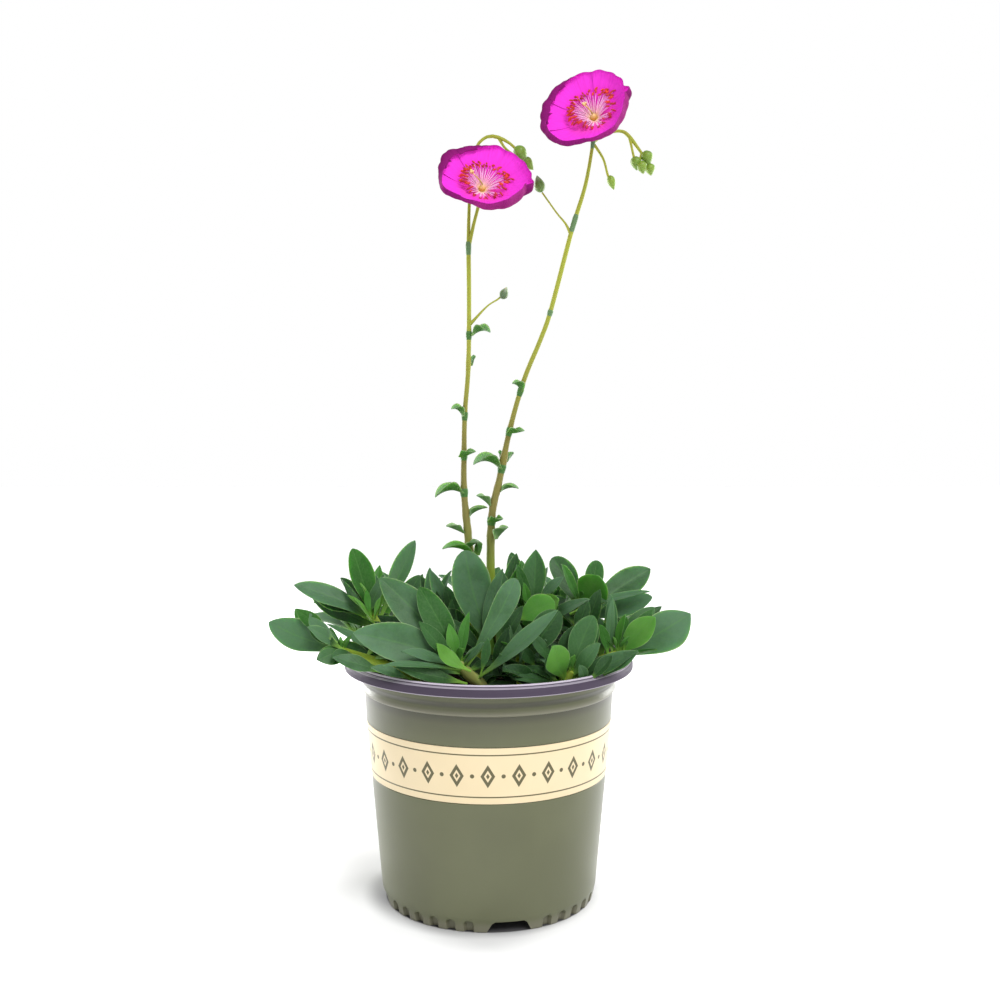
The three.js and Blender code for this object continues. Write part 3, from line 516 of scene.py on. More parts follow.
# Damp soil, dry soil, bark and the white of perlite.
SOIL_TONES = (
    (0.0, (0.018, 0.011, 0.007)),
    (0.5, (0.07, 0.038, 0.02)),
    (0.8, (0.16, 0.09, 0.045)),
    (1.0, (0.75, 0.72, 0.66)),
)
SOIL_GRAIN = (0.06, 0.036, 0.02)


def soil_material():
    look = Look("soil", 0.95)
    grain = look.noise(420.0, 5.0)
    look.colour = look.ramp(look.value("tone"), SOIL_TONES)
    look.fade(SOIL_GRAIN, grain, 0.4, 0.65, 0.5)
    return look.finish(grain, 0.001, 0.8)


# Meshes

# A direction that no stem starts along, for the first ring of a tube.
OFF_AXIS = (0.3, 1.0, 0.2)
ROUND_END = 0.6
CORNER_POINTS = (0, 1 / 3, 2 / 3, 1)


class Skin:
    """Points, faces and per-point values gathered for one piece."""

    def __init__(self):
        self.points = []
        self.faces = []
        self.values = {name: [] for name in VALUES}
        self.count = 0

    def add(self, points, face_lists, **values):
        self.points.append(points)
        for faces in face_lists:
            self.faces.extend((faces + self.count).tolist())
        for name in VALUES:
            self.values[name].append(np.broadcast_to(values.get(name, 0.0), len(points)))
        self.count += len(points)

    def move(self, basis, centre):
        self.points = [points @ basis.T + centre for points in self.points]

    def join(self, other):
        self.points.extend(other.points)
        self.faces.extend([[corner + self.count for corner in face] for face in other.faces])
        for name in VALUES:
            self.values[name].extend(other.values[name])
        self.count += other.count

    def mesh(self, name):
        """The mesh with its faces turned out and shaded smooth, but for the sharp edges."""
        mesh = bpy.data.meshes.new(name)
        mesh.from_pydata((np.vstack(self.points) * MM).tolist(), [], self.faces)
        for value_name, chunks in self.values.items():
            layer = mesh.attributes.new(value_name, "FLOAT", "POINT")
            layer.data.foreach_set("value", np.concatenate(chunks).astype(np.float32))
        tidy_mesh(mesh)
        return mesh


def tidy_mesh(mesh):
    solid = bmesh.new()
    solid.from_mesh(mesh)
    bmesh.ops.recalc_face_normals(solid, faces=solid.faces)
    for face in solid.faces:
        face.smooth = True
    for edge in solid.edges:
        edge.smooth = edge.calc_face_angle(0.0) < SHARP_ANGLE
    solid.to_mesh(mesh)
    solid.free()


def piece(name, skin, material, slot, *nodes):
    """Makes the object of a skin. It stands for these CAD nodes."""
    made = bpy.data.objects.new(name, skin.mesh(name))
    made.data.materials.append(material)
    bpy.context.collection.objects.link(made)
    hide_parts(*nodes)
    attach(made, "root")
    return made


def loft(skin, rings, tip=None, closed=False, **values):
    """A skin through rings of points. Its two ends are capped, or with closed it joins them."""
    rows, wide = rings.shape[:2]
    start = np.arange(rows if closed else rows - 1)[:, None] * wide
    here = np.arange(wide)
    after = (here + 1) % wide
    above = (start + wide) % (rows * wide)
    quads = np.stack([start + here, start + after, above + after, above + here], axis=-1).reshape(-1, 4)
    points = rings.reshape(-1, 3)
    spread = {name: np.broadcast_to(value, (rows, wide)) for name, value in values.items()}
    flat = {name: value.ravel() for name, value in spread.items()}
    if closed:
        skin.add(points, [quads], **flat)
        return
    last = (rows - 1) * wide
    bottom = np.stack([after, here, np.full(wide, rows * wide)], axis=-1)
    top = np.stack([last + here, last + after, np.full(wide, rows * wide + 1)], axis=-1)
    end = rings[-1].mean(axis=0) if tip is None else tip
    for name, value in spread.items():
        flat[name] = np.append(flat[name], [value[0].mean(), value[-1].mean()])
    skin.add(np.vstack([points, rings[0].mean(axis=0), end]), [quads, bottom, top], **flat)


def sheet(skin, surface, thickness, **values):
    """A thin closed blade about a surface of points."""
    rows, wide = surface.shape[:2]
    normal = unit(np.cross(np.gradient(surface, axis=1), np.gradient(surface, axis=0)))
    half = normal * thickness / 2
    faces = np.concatenate([surface - half, surface + half])
    at = np.arange(rows * wide).reshape(rows, wide)
    near = np.stack([at[:-1, :-1], at[:-1, 1:], at[1:, 1:], at[1:, :-1]], axis=-1).reshape(-1, 4)
    border = np.concatenate([at[0, :-1], at[:-1, -1], at[-1, :0:-1], at[:0:-1, 0]])
    after = np.roll(border, -1)
    far = rows * wide
    edge = np.stack([border, border + far, after + far, after], axis=-1)
    flat = {name: np.tile(np.broadcast_to(value, (rows, wide)).ravel(), 2) for name, value in values.items()}
    flat["under"] = np.repeat([0.0, 1.0], far)
    skin.add(faces.reshape(-1, 3), [near, near[:, ::-1] + far, edge], **flat)


def unit(vector):
    return vector / np.maximum(np.linalg.norm(vector, axis=-1, keepdims=True), 1e-9)


def square_to(vector, axis):
    """The direction of a vector once its part along an axis is taken off."""
    return unit(vector - axis * (vector @ axis))


def smooth(value, low, high):
    """A smooth step from 0 to 1 while the value goes from low to high."""
    share = np.clip((np.asarray(value, float) - low) / (high - low), 0, 1)
    return share * share * (3 - 2 * share)


def hump(value, width):
    """1 where the value is 0, and less on both sides within a few widths."""
    return np.exp(-(value / width) ** 2)


def way_out(angle, rise):
    """The direction at an angle round the pot and a rise above the level."""
    return np.array([math.cos(angle) * math.cos(rise), math.sin(angle) * math.cos(rise), math.sin(rise)])


def full_turn(count):
    """Even angles all round, as many as the count."""
    return np.arange(count) / count * TURN


def curve(points, steps):
    """Points on a smooth curve through these rows, the columns past the third, such as a radius, too."""
    rows = np.array(points, float)
    padded = np.vstack([2 * rows[0] - rows[1], rows, 2 * rows[-1] - rows[-2]])
    lengths = np.linalg.norm(np.diff(rows[:, :3], axis=0), axis=1)
    made = []
    for i, length in enumerate(lengths):
        before, start, end, after = padded[i:i + 4]
        count = max(2, int(round(steps * length / lengths.sum())))
        t = np.linspace(0, 1, count, endpoint=False)[:, None]
        square = 2 * before - 5 * start + 4 * end - after
        cube = 3 * start - before - 3 * end + after
        made.append(0.5 * (2 * start + (end - before) * t + square * t ** 2 + cube * t ** 3))
    return np.vstack([*made, rows[-1:]])


def tube(skin, rows, sides, end=ROUND_END, **values):
    """A round stem along rows of x, y, z and radius, its end drawn out by a share of the radius."""
    rows = np.array(rows, float)
    centres, radii = rows[:, :3], rows[:, 3]
    tangents = unit(np.gradient(centres, axis=0))
    side = unit(np.cross(tangents[0], OFF_AXIS))
    rings = []
    turn = full_turn(sides)[:, None]
    for centre, tangent, radius in zip(centres, tangents, radii):
        side = square_to(side, tangent)
        across = np.cross(tangent, side)
        rings.append(centre + radius * (np.cos(turn) * side + np.sin(turn) * across))
    tip = centres[-1] + tangents[-1] * radii[-1] * end
    loft(skin, np.array(rings), tip, **{"along": even_rise(len(rows)), **values})


def even_rise(count, end=1):
    """A column of numbers that rise evenly from 0."""
    return np.linspace(0, end, count)[:, None]


def level_rings(radius, height, turn):
    """Rings of points about the pot's axis, one for each radius and height."""
    return np.stack([radius * np.cos(turn), radius * np.sin(turn), height + 0 * turn], axis=-1)


def lathe(skin, profile, around, closed=False):
    """A profile of radius and height rows, turned about the pot's axis."""
    rows = np.array(profile, float)
    loft(skin, level_rings(rows[:, :1], rows[:, 1:], full_turn(around)), closed=closed)


def rounded(profile, reach, closed=False):
    """A profile with each corner turned through four points."""
    rows = [np.array(row, float) for row in profile]
    made = []
    for i, corner in enumerate(rows):
        if not closed and i in (0, len(rows) - 1):
            made.append(corner)
            continue
        ends = []
        for other in (rows[i - 1], rows[(i + 1) % len(rows)]):
            length = np.linalg.norm(other - corner)
            ends.append(corner + (other - corner) * min(reach, 0.4 * length) / length)
        for t in CORNER_POINTS:
            made.append((1 - t) ** 2 * ends[0] + 2 * t * (1 - t) * corner + t * t * ends[1])
    return made


# Pot, rim, label and soil. Profiles are rows of radius and height.

POT_AROUND = 720
RIM_AROUND = 360
CORNER = 0.3
LABEL_CORNER = 0.15
GAP = 0.3
LABEL_BOTTOM = 73.3
LABEL_TOP = 104.2
LABEL_BOTTOM_RADIUS = 67.6
LABEL_TOP_RADIUS = 70.3
LABEL_MIDDLE_RADIUS = 69.0
LABEL_THICKNESS = 0.6
LABEL_RECESS = 0.8
LABEL_PROUD = 0.1
FLOOR_TOP = 7.5
WALL = 2.2
WALL_TOP = 134
UNDERSIDE = ((22, 0), (24, 2.5), (45, 2.5), (47, 0))
FOOT_RADIUS = 60.3
FOOT_FLARE = 1.7
FOOT_TOP = 8
FOOT_LEVELS = (0, 0.8, 1.8, 2.8, 3.6, 4.2, 4.8, 5.3, 5.8, 6.3, 6.9, FOOT_TOP)
LOW_WALL = (62.9, 18)
COLLAR_BOTTOM = 121.2
# The collar's rows, with heights from its bottom.
COLLAR = (
    (71.2, 0), (72.1, 0.2), (72.65, 1.2), (72.4, 2.8), (72.0, 5.0), (72.3, 5.9), (73.1, 7.3), (73.3, 9.6),
)
RIM_PROFILE = (
    (72.0, 134.3), (80.9, 134.3), (81.3, 133.7), (82.2, 133.7), (82.5, 134.3), (82.5, 136.5), (82.15, 137.6),
    (81.3, 138.55), (80.7, 138.45), (80.1, 138.6), (79.7, 139.6), (79.0, 140.0), (78.2, 139.9), (77.5, 139.2),
    (74.2, 136.4),
)

# The openings at each quarter of the foot, as outlines of across and up, from one radius to another.
QUARTERS = 4
NOTCH_ANGLE = math.radians(-79)
NOTCH_HALF = ((7.9, 6.2), (9.7, 5.0), (11.65, 1.2), (12.85, -1))
NOTCH_OUTLINE = (*((-across, up) for across, up in reversed(NOTCH_HALF)), *NOTCH_HALF)
NOTCH_RADII = (44, FOOT_RADIUS + 5)
SLOT_OUTLINE = ((-5.5, 3), (5.5, 3), (5.5, 9.2), (-5.5, 9.2))
SLOT_RADII = (50, 56)
GROOVES_PER_QUARTER = 6
GROOVE_PITCH = math.radians(9.64)
GROOVE_RADIUS = 2.3
GROOVE_TOP = 6.2
GROOVE_DEPTH = 2.3
GROOVE_EDGE = 0.5
# The pot's points that the grooves can reach: outside this radius and below this height.
GROOVED = (FOOT_RADIUS - 1.2, 9)


def pot_profile():
    foot = [(FOOT_RADIUS + FOOT_FLARE * z / FOOT_TOP, z) for z in FOOT_LEVELS]
    recess = [
        (LABEL_BOTTOM_RADIUS, LABEL_BOTTOM - GAP), (LABEL_BOTTOM_RADIUS - LABEL_RECESS, LABEL_BOTTOM - GAP),
        (LABEL_TOP_RADIUS - LABEL_RECESS, LABEL_TOP + GAP), (LABEL_TOP_RADIUS, LABEL_TOP + GAP),
    ]
    collar = [(radius, COLLAR_BOTTOM + up) for radius, up in COLLAR]
    top = [(74.2, WALL_TOP - 1), (74.4, WALL_TOP), (71.8, WALL_TOP)]
    inside = [(radius - WALL, z) for radius, z in ((71.2, COLLAR_BOTTOM), LOW_WALL, (61.5, FLOOR_TOP))]
    return rounded([*UNDERSIDE, *foot, LOW_WALL, *recess, *collar, *top, *inside, (2, FLOOR_TOP)], CORNER)


def groove_depth(angle, height):
    """How deep the foot's grooves cut the wall at an angle and a height."""
    depth = np.zeros(np.broadcast(angle, height).shape)
    for quarter in range(QUARTERS):
        middle = NOTCH_ANGLE + (quarter + 0.5) * TURN / QUARTERS
        for i in range(GROOVES_PER_QUARTER):
            centre = middle + (i - (GROOVES_PER_QUARTER - 1) / 2) * GROOVE_PITCH
            across = FOOT_RADIUS * ((angle - centre + math.pi) % TURN - math.pi)
            above = np.maximum(height - (GROOVE_TOP - GROOVE_RADIUS), 0)
            inside = GROOVE_RADIUS - np.hypot(across, above)
            depth = np.maximum(depth, GROOVE_DEPTH * smooth(inside, -GROOVE_EDGE, GROOVE_EDGE))
    return depth


def add_pot(material):
    skin = Skin()
    lathe(skin, pot_profile(), POT_AROUND)
    points = skin.points[0]
    radius = np.hypot(points[:, 0], points[:, 1])
    outer = (radius > GROOVED[0]) & (points[:, 2] < GROOVED[1])
    angle = np.arctan2(points[:, 1], points[:, 0])
    cut = np.where(outer, groove_depth(angle, points[:, 2]), 0)
    points[:, :2] *= (1 - cut / np.maximum(radius, 1))[:, None]
    pot = piece("pot_shell", skin, material, "pot", "pot")
    carve(pot, NOTCH_OUTLINE, NOTCH_RADII)
    carve(pot, SLOT_OUTLINE, SLOT_RADII)


def carve(solid, outline, radii):
    """Cuts an opening into an object at each quarter, between two radii, by its outline."""
    cutter = Skin()
    for quarter in range(QUARTERS):
        turn = NOTCH_ANGLE + quarter * TURN / QUARTERS
        radial = np.array([math.cos(turn), math.sin(turn), 0])
        across = np.array([-math.sin(turn), math.cos(turn), 0])
        ring = np.array([across * x + UP * z for x, z in outline])
        loft(cutter, np.array([ring + radial * reach for reach in radii]))
    tool = bpy.data.objects.new("cutter", cutter.mesh("cutter"))
    bpy.context.collection.objects.link(tool)
    cut = solid.modifiers.new("cut", "BOOLEAN")
    cut.operation = "DIFFERENCE"
    cut.solver = "EXACT"
    cut.object = tool
    bpy.context.view_layer.update()
    made = bpy.data.meshes.new_from_object(solid.evaluated_get(bpy.context.evaluated_depsgraph_get()))
    solid.modifiers.remove(cut)
    solid.data = made
    bpy.data.objects.remove(tool)
    tidy_mesh(made)


def add_rim(material):
    skin = Skin()
    lathe(skin, rounded(RIM_PROFILE, CORNER, closed=True), RIM_AROUND, closed=True)
    piece("pot_rim", skin, material, "rim", "rim")


def add_label(material):
    low, high = LABEL_BOTTOM_RADIUS + LABEL_PROUD, LABEL_TOP_RADIUS + LABEL_PROUD
    inner_low, inner_high = low - LABEL_THICKNESS, high - LABEL_THICKNESS
    profile = [(inner_low, LABEL_BOTTOM), (low, LABEL_BOTTOM), (high, LABEL_TOP), (inner_high, LABEL_TOP)]
    skin = Skin()
    lathe(skin, rounded(profile, LABEL_CORNER, closed=True), RIM_AROUND, closed=True)
    piece("label", skin, material, "label", "label_band")


SOIL_TOP = 123
SOIL_CROWN = 3
SOIL_BUMP = 1.4
SOIL_SPREAD = 68
SOIL_RADIUS = 68.7
SOIL_SIDE = ((20, 7.8), (58.9, 7.8), (60.3, 18), (SOIL_RADIUS, SOIL_TOP - 2))
SOIL_RINGS = 64
SOIL_AROUND = 220
CRUMB_COUNT = 620
CRUMB_SPREAD = 67
CRUMB_LEVELS = (-0.75, 0.0, 0.7)
CRUMB_CORNERS = 7
# One crumb in so many is a white, rounder grain of perlite.
PERLITE_EVERY = 14


def soil_height(x, y):
    """A low crown with broad and fine bumps, which are level at the edge."""
    reach = np.hypot(x, y) / SOIL_SPREAD
    bumps = np.sin(0.31 * x + 1.3) * np.cos(0.27 * y) + 0.5 * np.sin(0.71 * y + 0.53 * x)
    fine = 0.45 * np.sin(1.9 * x + 0.8 * y) * np.sin(1.3 * y - 1.1 * x) + 0.25 * np.sin(3.1 * y + 2.2 * x)
    edge = np.minimum(1, 3 * np.maximum(1 - reach, 0))
    return SOIL_TOP + SOIL_CROWN * (1 - reach * reach) + (SOIL_BUMP * bumps + fine) * edge


def add_soil(material):
    draw = random.Random(11)
    skin = Skin()
    turn = full_turn(SOIL_AROUND)
    rings = [level_rings(radius, z, turn) for radius, z in SOIL_SIDE]
    for radius in np.linspace(SOIL_RADIUS, 1.0, SOIL_RINGS):
        rings.append(level_rings(radius, soil_height(radius * np.cos(turn), radius * np.sin(turn)), turn))
    loft(skin, np.array(rings), tone=0.25)
    for i in range(CRUMB_COUNT):
        reach, angle = CRUMB_SPREAD * math.sqrt(draw.random()), draw.uniform(0, TURN)
        x, y = reach * math.cos(angle), reach * math.sin(angle)
        pale = i % PERLITE_EVERY == 0
        size = draw.uniform(0.7, 1.3) if pale else draw.uniform(0.8, 2.6)
        place = np.array([x, y, float(soil_height(x, y)) + 0.15 * size])
        tone, flat = (1.0, 0.8) if pale else (draw.uniform(0.1, 0.85), 0.35)
        crumb(skin, place, size, draw, tone, flat)
    piece("potting_soil", skin, material, "soil", "soil")


def crumb(skin, place, size, draw, tone, flat):
    """A small uneven lump, lying at a random turn."""
    turn = draw.uniform(0, TURN)
    long, wide, high = size * draw.uniform(0.9, 1.7), size * draw.uniform(0.5, 0.9), size * flat
    rings = []
    for level in CRUMB_LEVELS:
        share = math.sqrt(1 - level * level)
        angles = full_turn(CRUMB_CORNERS) + draw.uniform(0, 0.9)
        bump = np.array([draw.uniform(0.8, 1.15) for _ in angles]) * share
        x, y = long * bump * np.cos(angles), wide * bump * np.sin(angles)
        turned_x = x * math.cos(turn) - y * math.sin(turn)
        turned_y = x * math.sin(turn) + y * math.cos(turn)
        rings.append(np.stack([turned_x, turned_y, level * high + 0 * x], axis=-1) + place)
    loft(skin, np.array(rings), tone=tone)


# Leaves and shoots

LEAF_THICKNESS = 1.7
LEAF_PETIOLE = 0.17
LEAF_ROWS = 22
LEAF_COLUMNS = 13
# The last row of a leaf, as a share of its length, and the even and the eased part of the rows' spacing.
LAST_ROW = 0.992
EVEN_PART = 0.55
EASED_PART = 0.225
# How a leaf's columns crowd towards its edges, how its fold bends, and its ripples from foot to tip.
CROWD_EDGES = 0.85
FOLD_CURVE = 1.35
RIPPLES = 1.4
RIPPLE_SHIFT = 1.9
# Depths of a leaf's faces as shares of its thickness, and of its groove in millimetres.
CROWN_DEPTH = 0.15
BELLY_DEPTH = 0.72
KEEL_DEPTH = 0.2
GROOVE_DEEP = 0.2
# The first young leaf at a crown and the change to each next one: rise in degrees, length, width, tone.
CROWN_LEAVES = 7
YOUNG_LEAVES = ((38, 6), (15, -1.3), (4.8, -0.35), (0.62, 0.05))
YOUNG_THICKNESS = 1.2
# Leaves laid by a rule: their width as a share of their length. Then the second whorl's count, its
# turn and rises in degrees, and its lengths as shares of the shoot's reach.
RULED_WIDTH = 0.36
SECOND_WHORL = 7
SECOND_TURN = 66
SECOND_RISES = (28, 62)
SECOND_LENGTHS = (0.5, 0.68)
# The leaves low on a shoot. Each has some tries to stay near the pot's axis and to turn off the front.
LOW_LEAVES = 10
LOW_LEAF_TRIES = 12
LOW_LEAF_SPREAD = 66
LOW_LEAF_FRONT = -0.75
LOW_LEAF_BOTTOM = 132
LOW_LEAF_RISES = (0, 42)
LOW_LEAF_LENGTHS = (20, 32)
LOW_LEAF_WIDTH = 0.42
STEM_DEPTH = 16
STEM_SIDES = 16
STEM_RADIUS = 2.4
STEM_BLUSH = 0.15
STEM_STEPS = 26
# A leaf turns its upper face to a point this far above its shoot's crown, or above its own base.
FACES_ABOVE = 60.0


def half_width(u, width, widest, blunt, petiole):
    """Half a blade's width at a share of its length, from the petiole to the widest place and the tip."""
    past = np.maximum(0, (u - widest) / (1 - widest))
    swell = petiole + (1 - petiole) * smooth(u, 0.04, widest)
    return width / 2 * swell * np.maximum(1 - past * past, 0) ** blunt


def spine(base, tip, faces, draw, arch, front, shoulder, roll, rows):
    """A blade's middle line, the share of the way along it, and its sideways and upward directions."""
    base, tip = np.array(base, float), np.array(tip, float)
    length = np.linalg.norm(tip - base)
    along = (tip - base) / length
    middle = (base + tip) / 2
    face = unit(np.array(faces) - middle) * (1 - front) + FRONT * front
    face = square_to(face, along)
    t = np.linspace(0, LAST_ROW, rows)
    u = (EVEN_PART * t + EASED_PART * (1 - np.cos(math.pi * t)))[:, None]
    control = middle + face * arch * length if shoulder is None else 2 * np.array(shoulder) - middle
    centre = (1 - u) ** 2 * base + 2 * u * (1 - u) * control + u * u * tip
    if shoulder is None:
        centre += np.cross(along, face) * draw.uniform(-0.05, 0.05) * length * np.sin(math.pi * u)
        centre -= face * draw.uniform(-0.02, 0.035) * length * np.sin(math.pi * smooth(u, 0.3, 1.0))
    tangent = unit(np.gradient(centre, axis=0))
    side = unit(np.cross(tangent, face))
    normal = np.cross(side, tangent)
    twist = math.radians(draw.uniform(-12, 12)) * u
    twist = twist + math.radians(roll) * np.sign(side[:, 1:2]) * smooth(u, 0.35, 0.9)
    sideways = side * np.cos(twist) + normal * np.sin(twist)
    upward = normal * np.cos(twist) - side * np.sin(twist)
    return centre, u, sideways, upward


def leaf(skin, base, tip, faces, width, draw, arch=0.0, front=0.0, tone=0.3, thickness=LEAF_THICKNESS,
         rows=LEAF_ROWS, shoulder=None, petiole=LEAF_PETIOLE, fold=None, roll=0.0, shape=()):
    """A fleshy blade from its base to its tip, its upper face turned to a point and to the front.

    A clasping leaf has a shoulder to pass through, and rolls towards the front near its tip. A shape
    says where along the blade it is widest, and how blunt its tip is from 0.4 for round to 1 for pointed.
    """
    centre, u, sideways, upward = spine(base, tip, faces, draw, arch, front, shoulder, roll, rows)
    v = np.linspace(-1, 1, LEAF_COLUMNS)
    v = np.sign(v) * np.abs(v) ** CROWD_EDGES
    v = np.concatenate([v, v[-2:0:-1]])[None, :]
    under = np.repeat([0.0, 1.0], (LEAF_COLUMNS, LEAF_COLUMNS - 2))[None, :]
    drawn_blunt, drawn_widest = draw.uniform(0.72, 1.0), draw.uniform(0.5, 0.66)
    half = half_width(u, width, *(shape or (drawn_widest, drawn_blunt)), petiole)
    wave = draw.uniform(0.0, 0.05) * np.sin(7 * u + draw.uniform(0, TURN))
    spread = half * v * (1 + (draw.uniform(-0.1, 0.1) + wave) * np.sign(v))
    lift = blade_lift(u, v, half, fold, draw)
    crown, groove, belly, keel = blade_depths(u, v, thickness)
    rise = np.where(under > 0, lift - belly - keel, lift + crown - groove)
    rings = centre[:, None] + sideways[:, None] * spread[..., None] + upward[:, None] * rise[..., None]
    loft(skin, rings, tip, tone=tone + draw.uniform(-0.04, 0.04), along=u, across=v, under=under)


def blade_lift(u, v, half, fold, draw):
    """How far a blade rises above flat: folded up along its middle, tilted, and rippled at its edges."""
    fold = draw.uniform(0.12, 0.36) if fold is None else fold
    lift = fold * half * np.abs(v) ** FOLD_CURVE * smooth(u, 0, 0.4)
    lift += draw.uniform(-0.12, 0.12) * half * v * smooth(u, 0.3, 1.0)
    phase = draw.uniform(0, TURN)
    ripple = np.sin(TURN * RIPPLES * u + phase + RIPPLE_SHIFT * (v > 0)) * np.abs(v) ** 3
    return lift + draw.uniform(0.03, 0.1) * half * ripple * smooth(u, 0.2, 0.6)


def blade_depths(u, v, thickness):
    """The crown and the groove of a blade's upper face, and the belly and the keel of its lower face."""
    depth = thickness * (1.15 - 0.5 * u)
    crown = CROWN_DEPTH * depth * (1 - v * v)
    groove = GROOVE_DEEP * (hump(v, 0.13) * smooth(u, 0.02, 0.2) * (1 - 0.6 * u))
    belly = BELLY_DEPTH * depth * np.maximum(1 - np.abs(v) ** 2.4, 0) ** 0.6
    keel = KEEL_DEPTH * depth * hump(v, 0.2) * (1 - u)
    return crown, groove, belly, keel


# Each shoot: its foot on the soil, an elbow where it has to clear the rim, and its crown. Some say how
# thick and how pale their stem is, and how large their young leaves are. The last five stand at the
# sides and the back, where a rule lays the leaves: how many, the first one's angle in degrees, and
# how far they reach.
SHOOTS = {
    "front": {"foot": (-3, -36), "crown": (-16, -50, 145), "thick": 3.3, "blush": 0.42},
    "left": {
        "foot": (-34, -44), "elbow": (-52, -50, 143), "crown": (-79, -44, 151), "blush": 0.0, "young": 0.65,
    },
    "left_upper": {"foot": (-46, -8), "crown": (-66, -2, 163)},
    "centre": {"foot": (-6, -8), "crown": (-7, -6, 149)},
    "centre_left": {"foot": (-26, 12), "crown": (-33, 14, 158)},
    "centre_right": {"foot": (22, 0), "crown": (24, 0, 164)},
    "right": {"foot": (42, 10), "crown": (55, 8, 166)},
    "right_lower": {"foot": (54, -24), "elbow": (62, -25, 141), "crown": (72, -26, 146)},
    "front_right": {"foot": (38, -46), "crown": (45, -50, 141)},
    "middle": {"foot": (2, 26), "crown": (2, 28, 150)},
    "centre_front": {"foot": (18, -32), "crown": (17, -34, 145)},
    "back_left": {"foot": (-36, 42), "crown": (-48, 58, 152), "count": 8, "start": 170, "reach": 44},
    "back_middle": {"foot": (-2, 50), "crown": (-4, 66, 154), "count": 8, "start": 100, "reach": 42},
    "back_right": {"foot": (32, 44), "crown": (42, 60, 152), "count": 8, "start": 52, "reach": 42},
    "side_right": {
        "foot": (54, 26), "elbow": (62, 28, 144), "crown": (82, 32, 150),
        "count": 6, "start": 12, "reach": 33,
    },
    "side_left": {
        "foot": (-57, 16), "elbow": (-66, 20, 144), "crown": (-82, 28, 149),
        "count": 6, "start": 150, "reach": 34,
    },
}

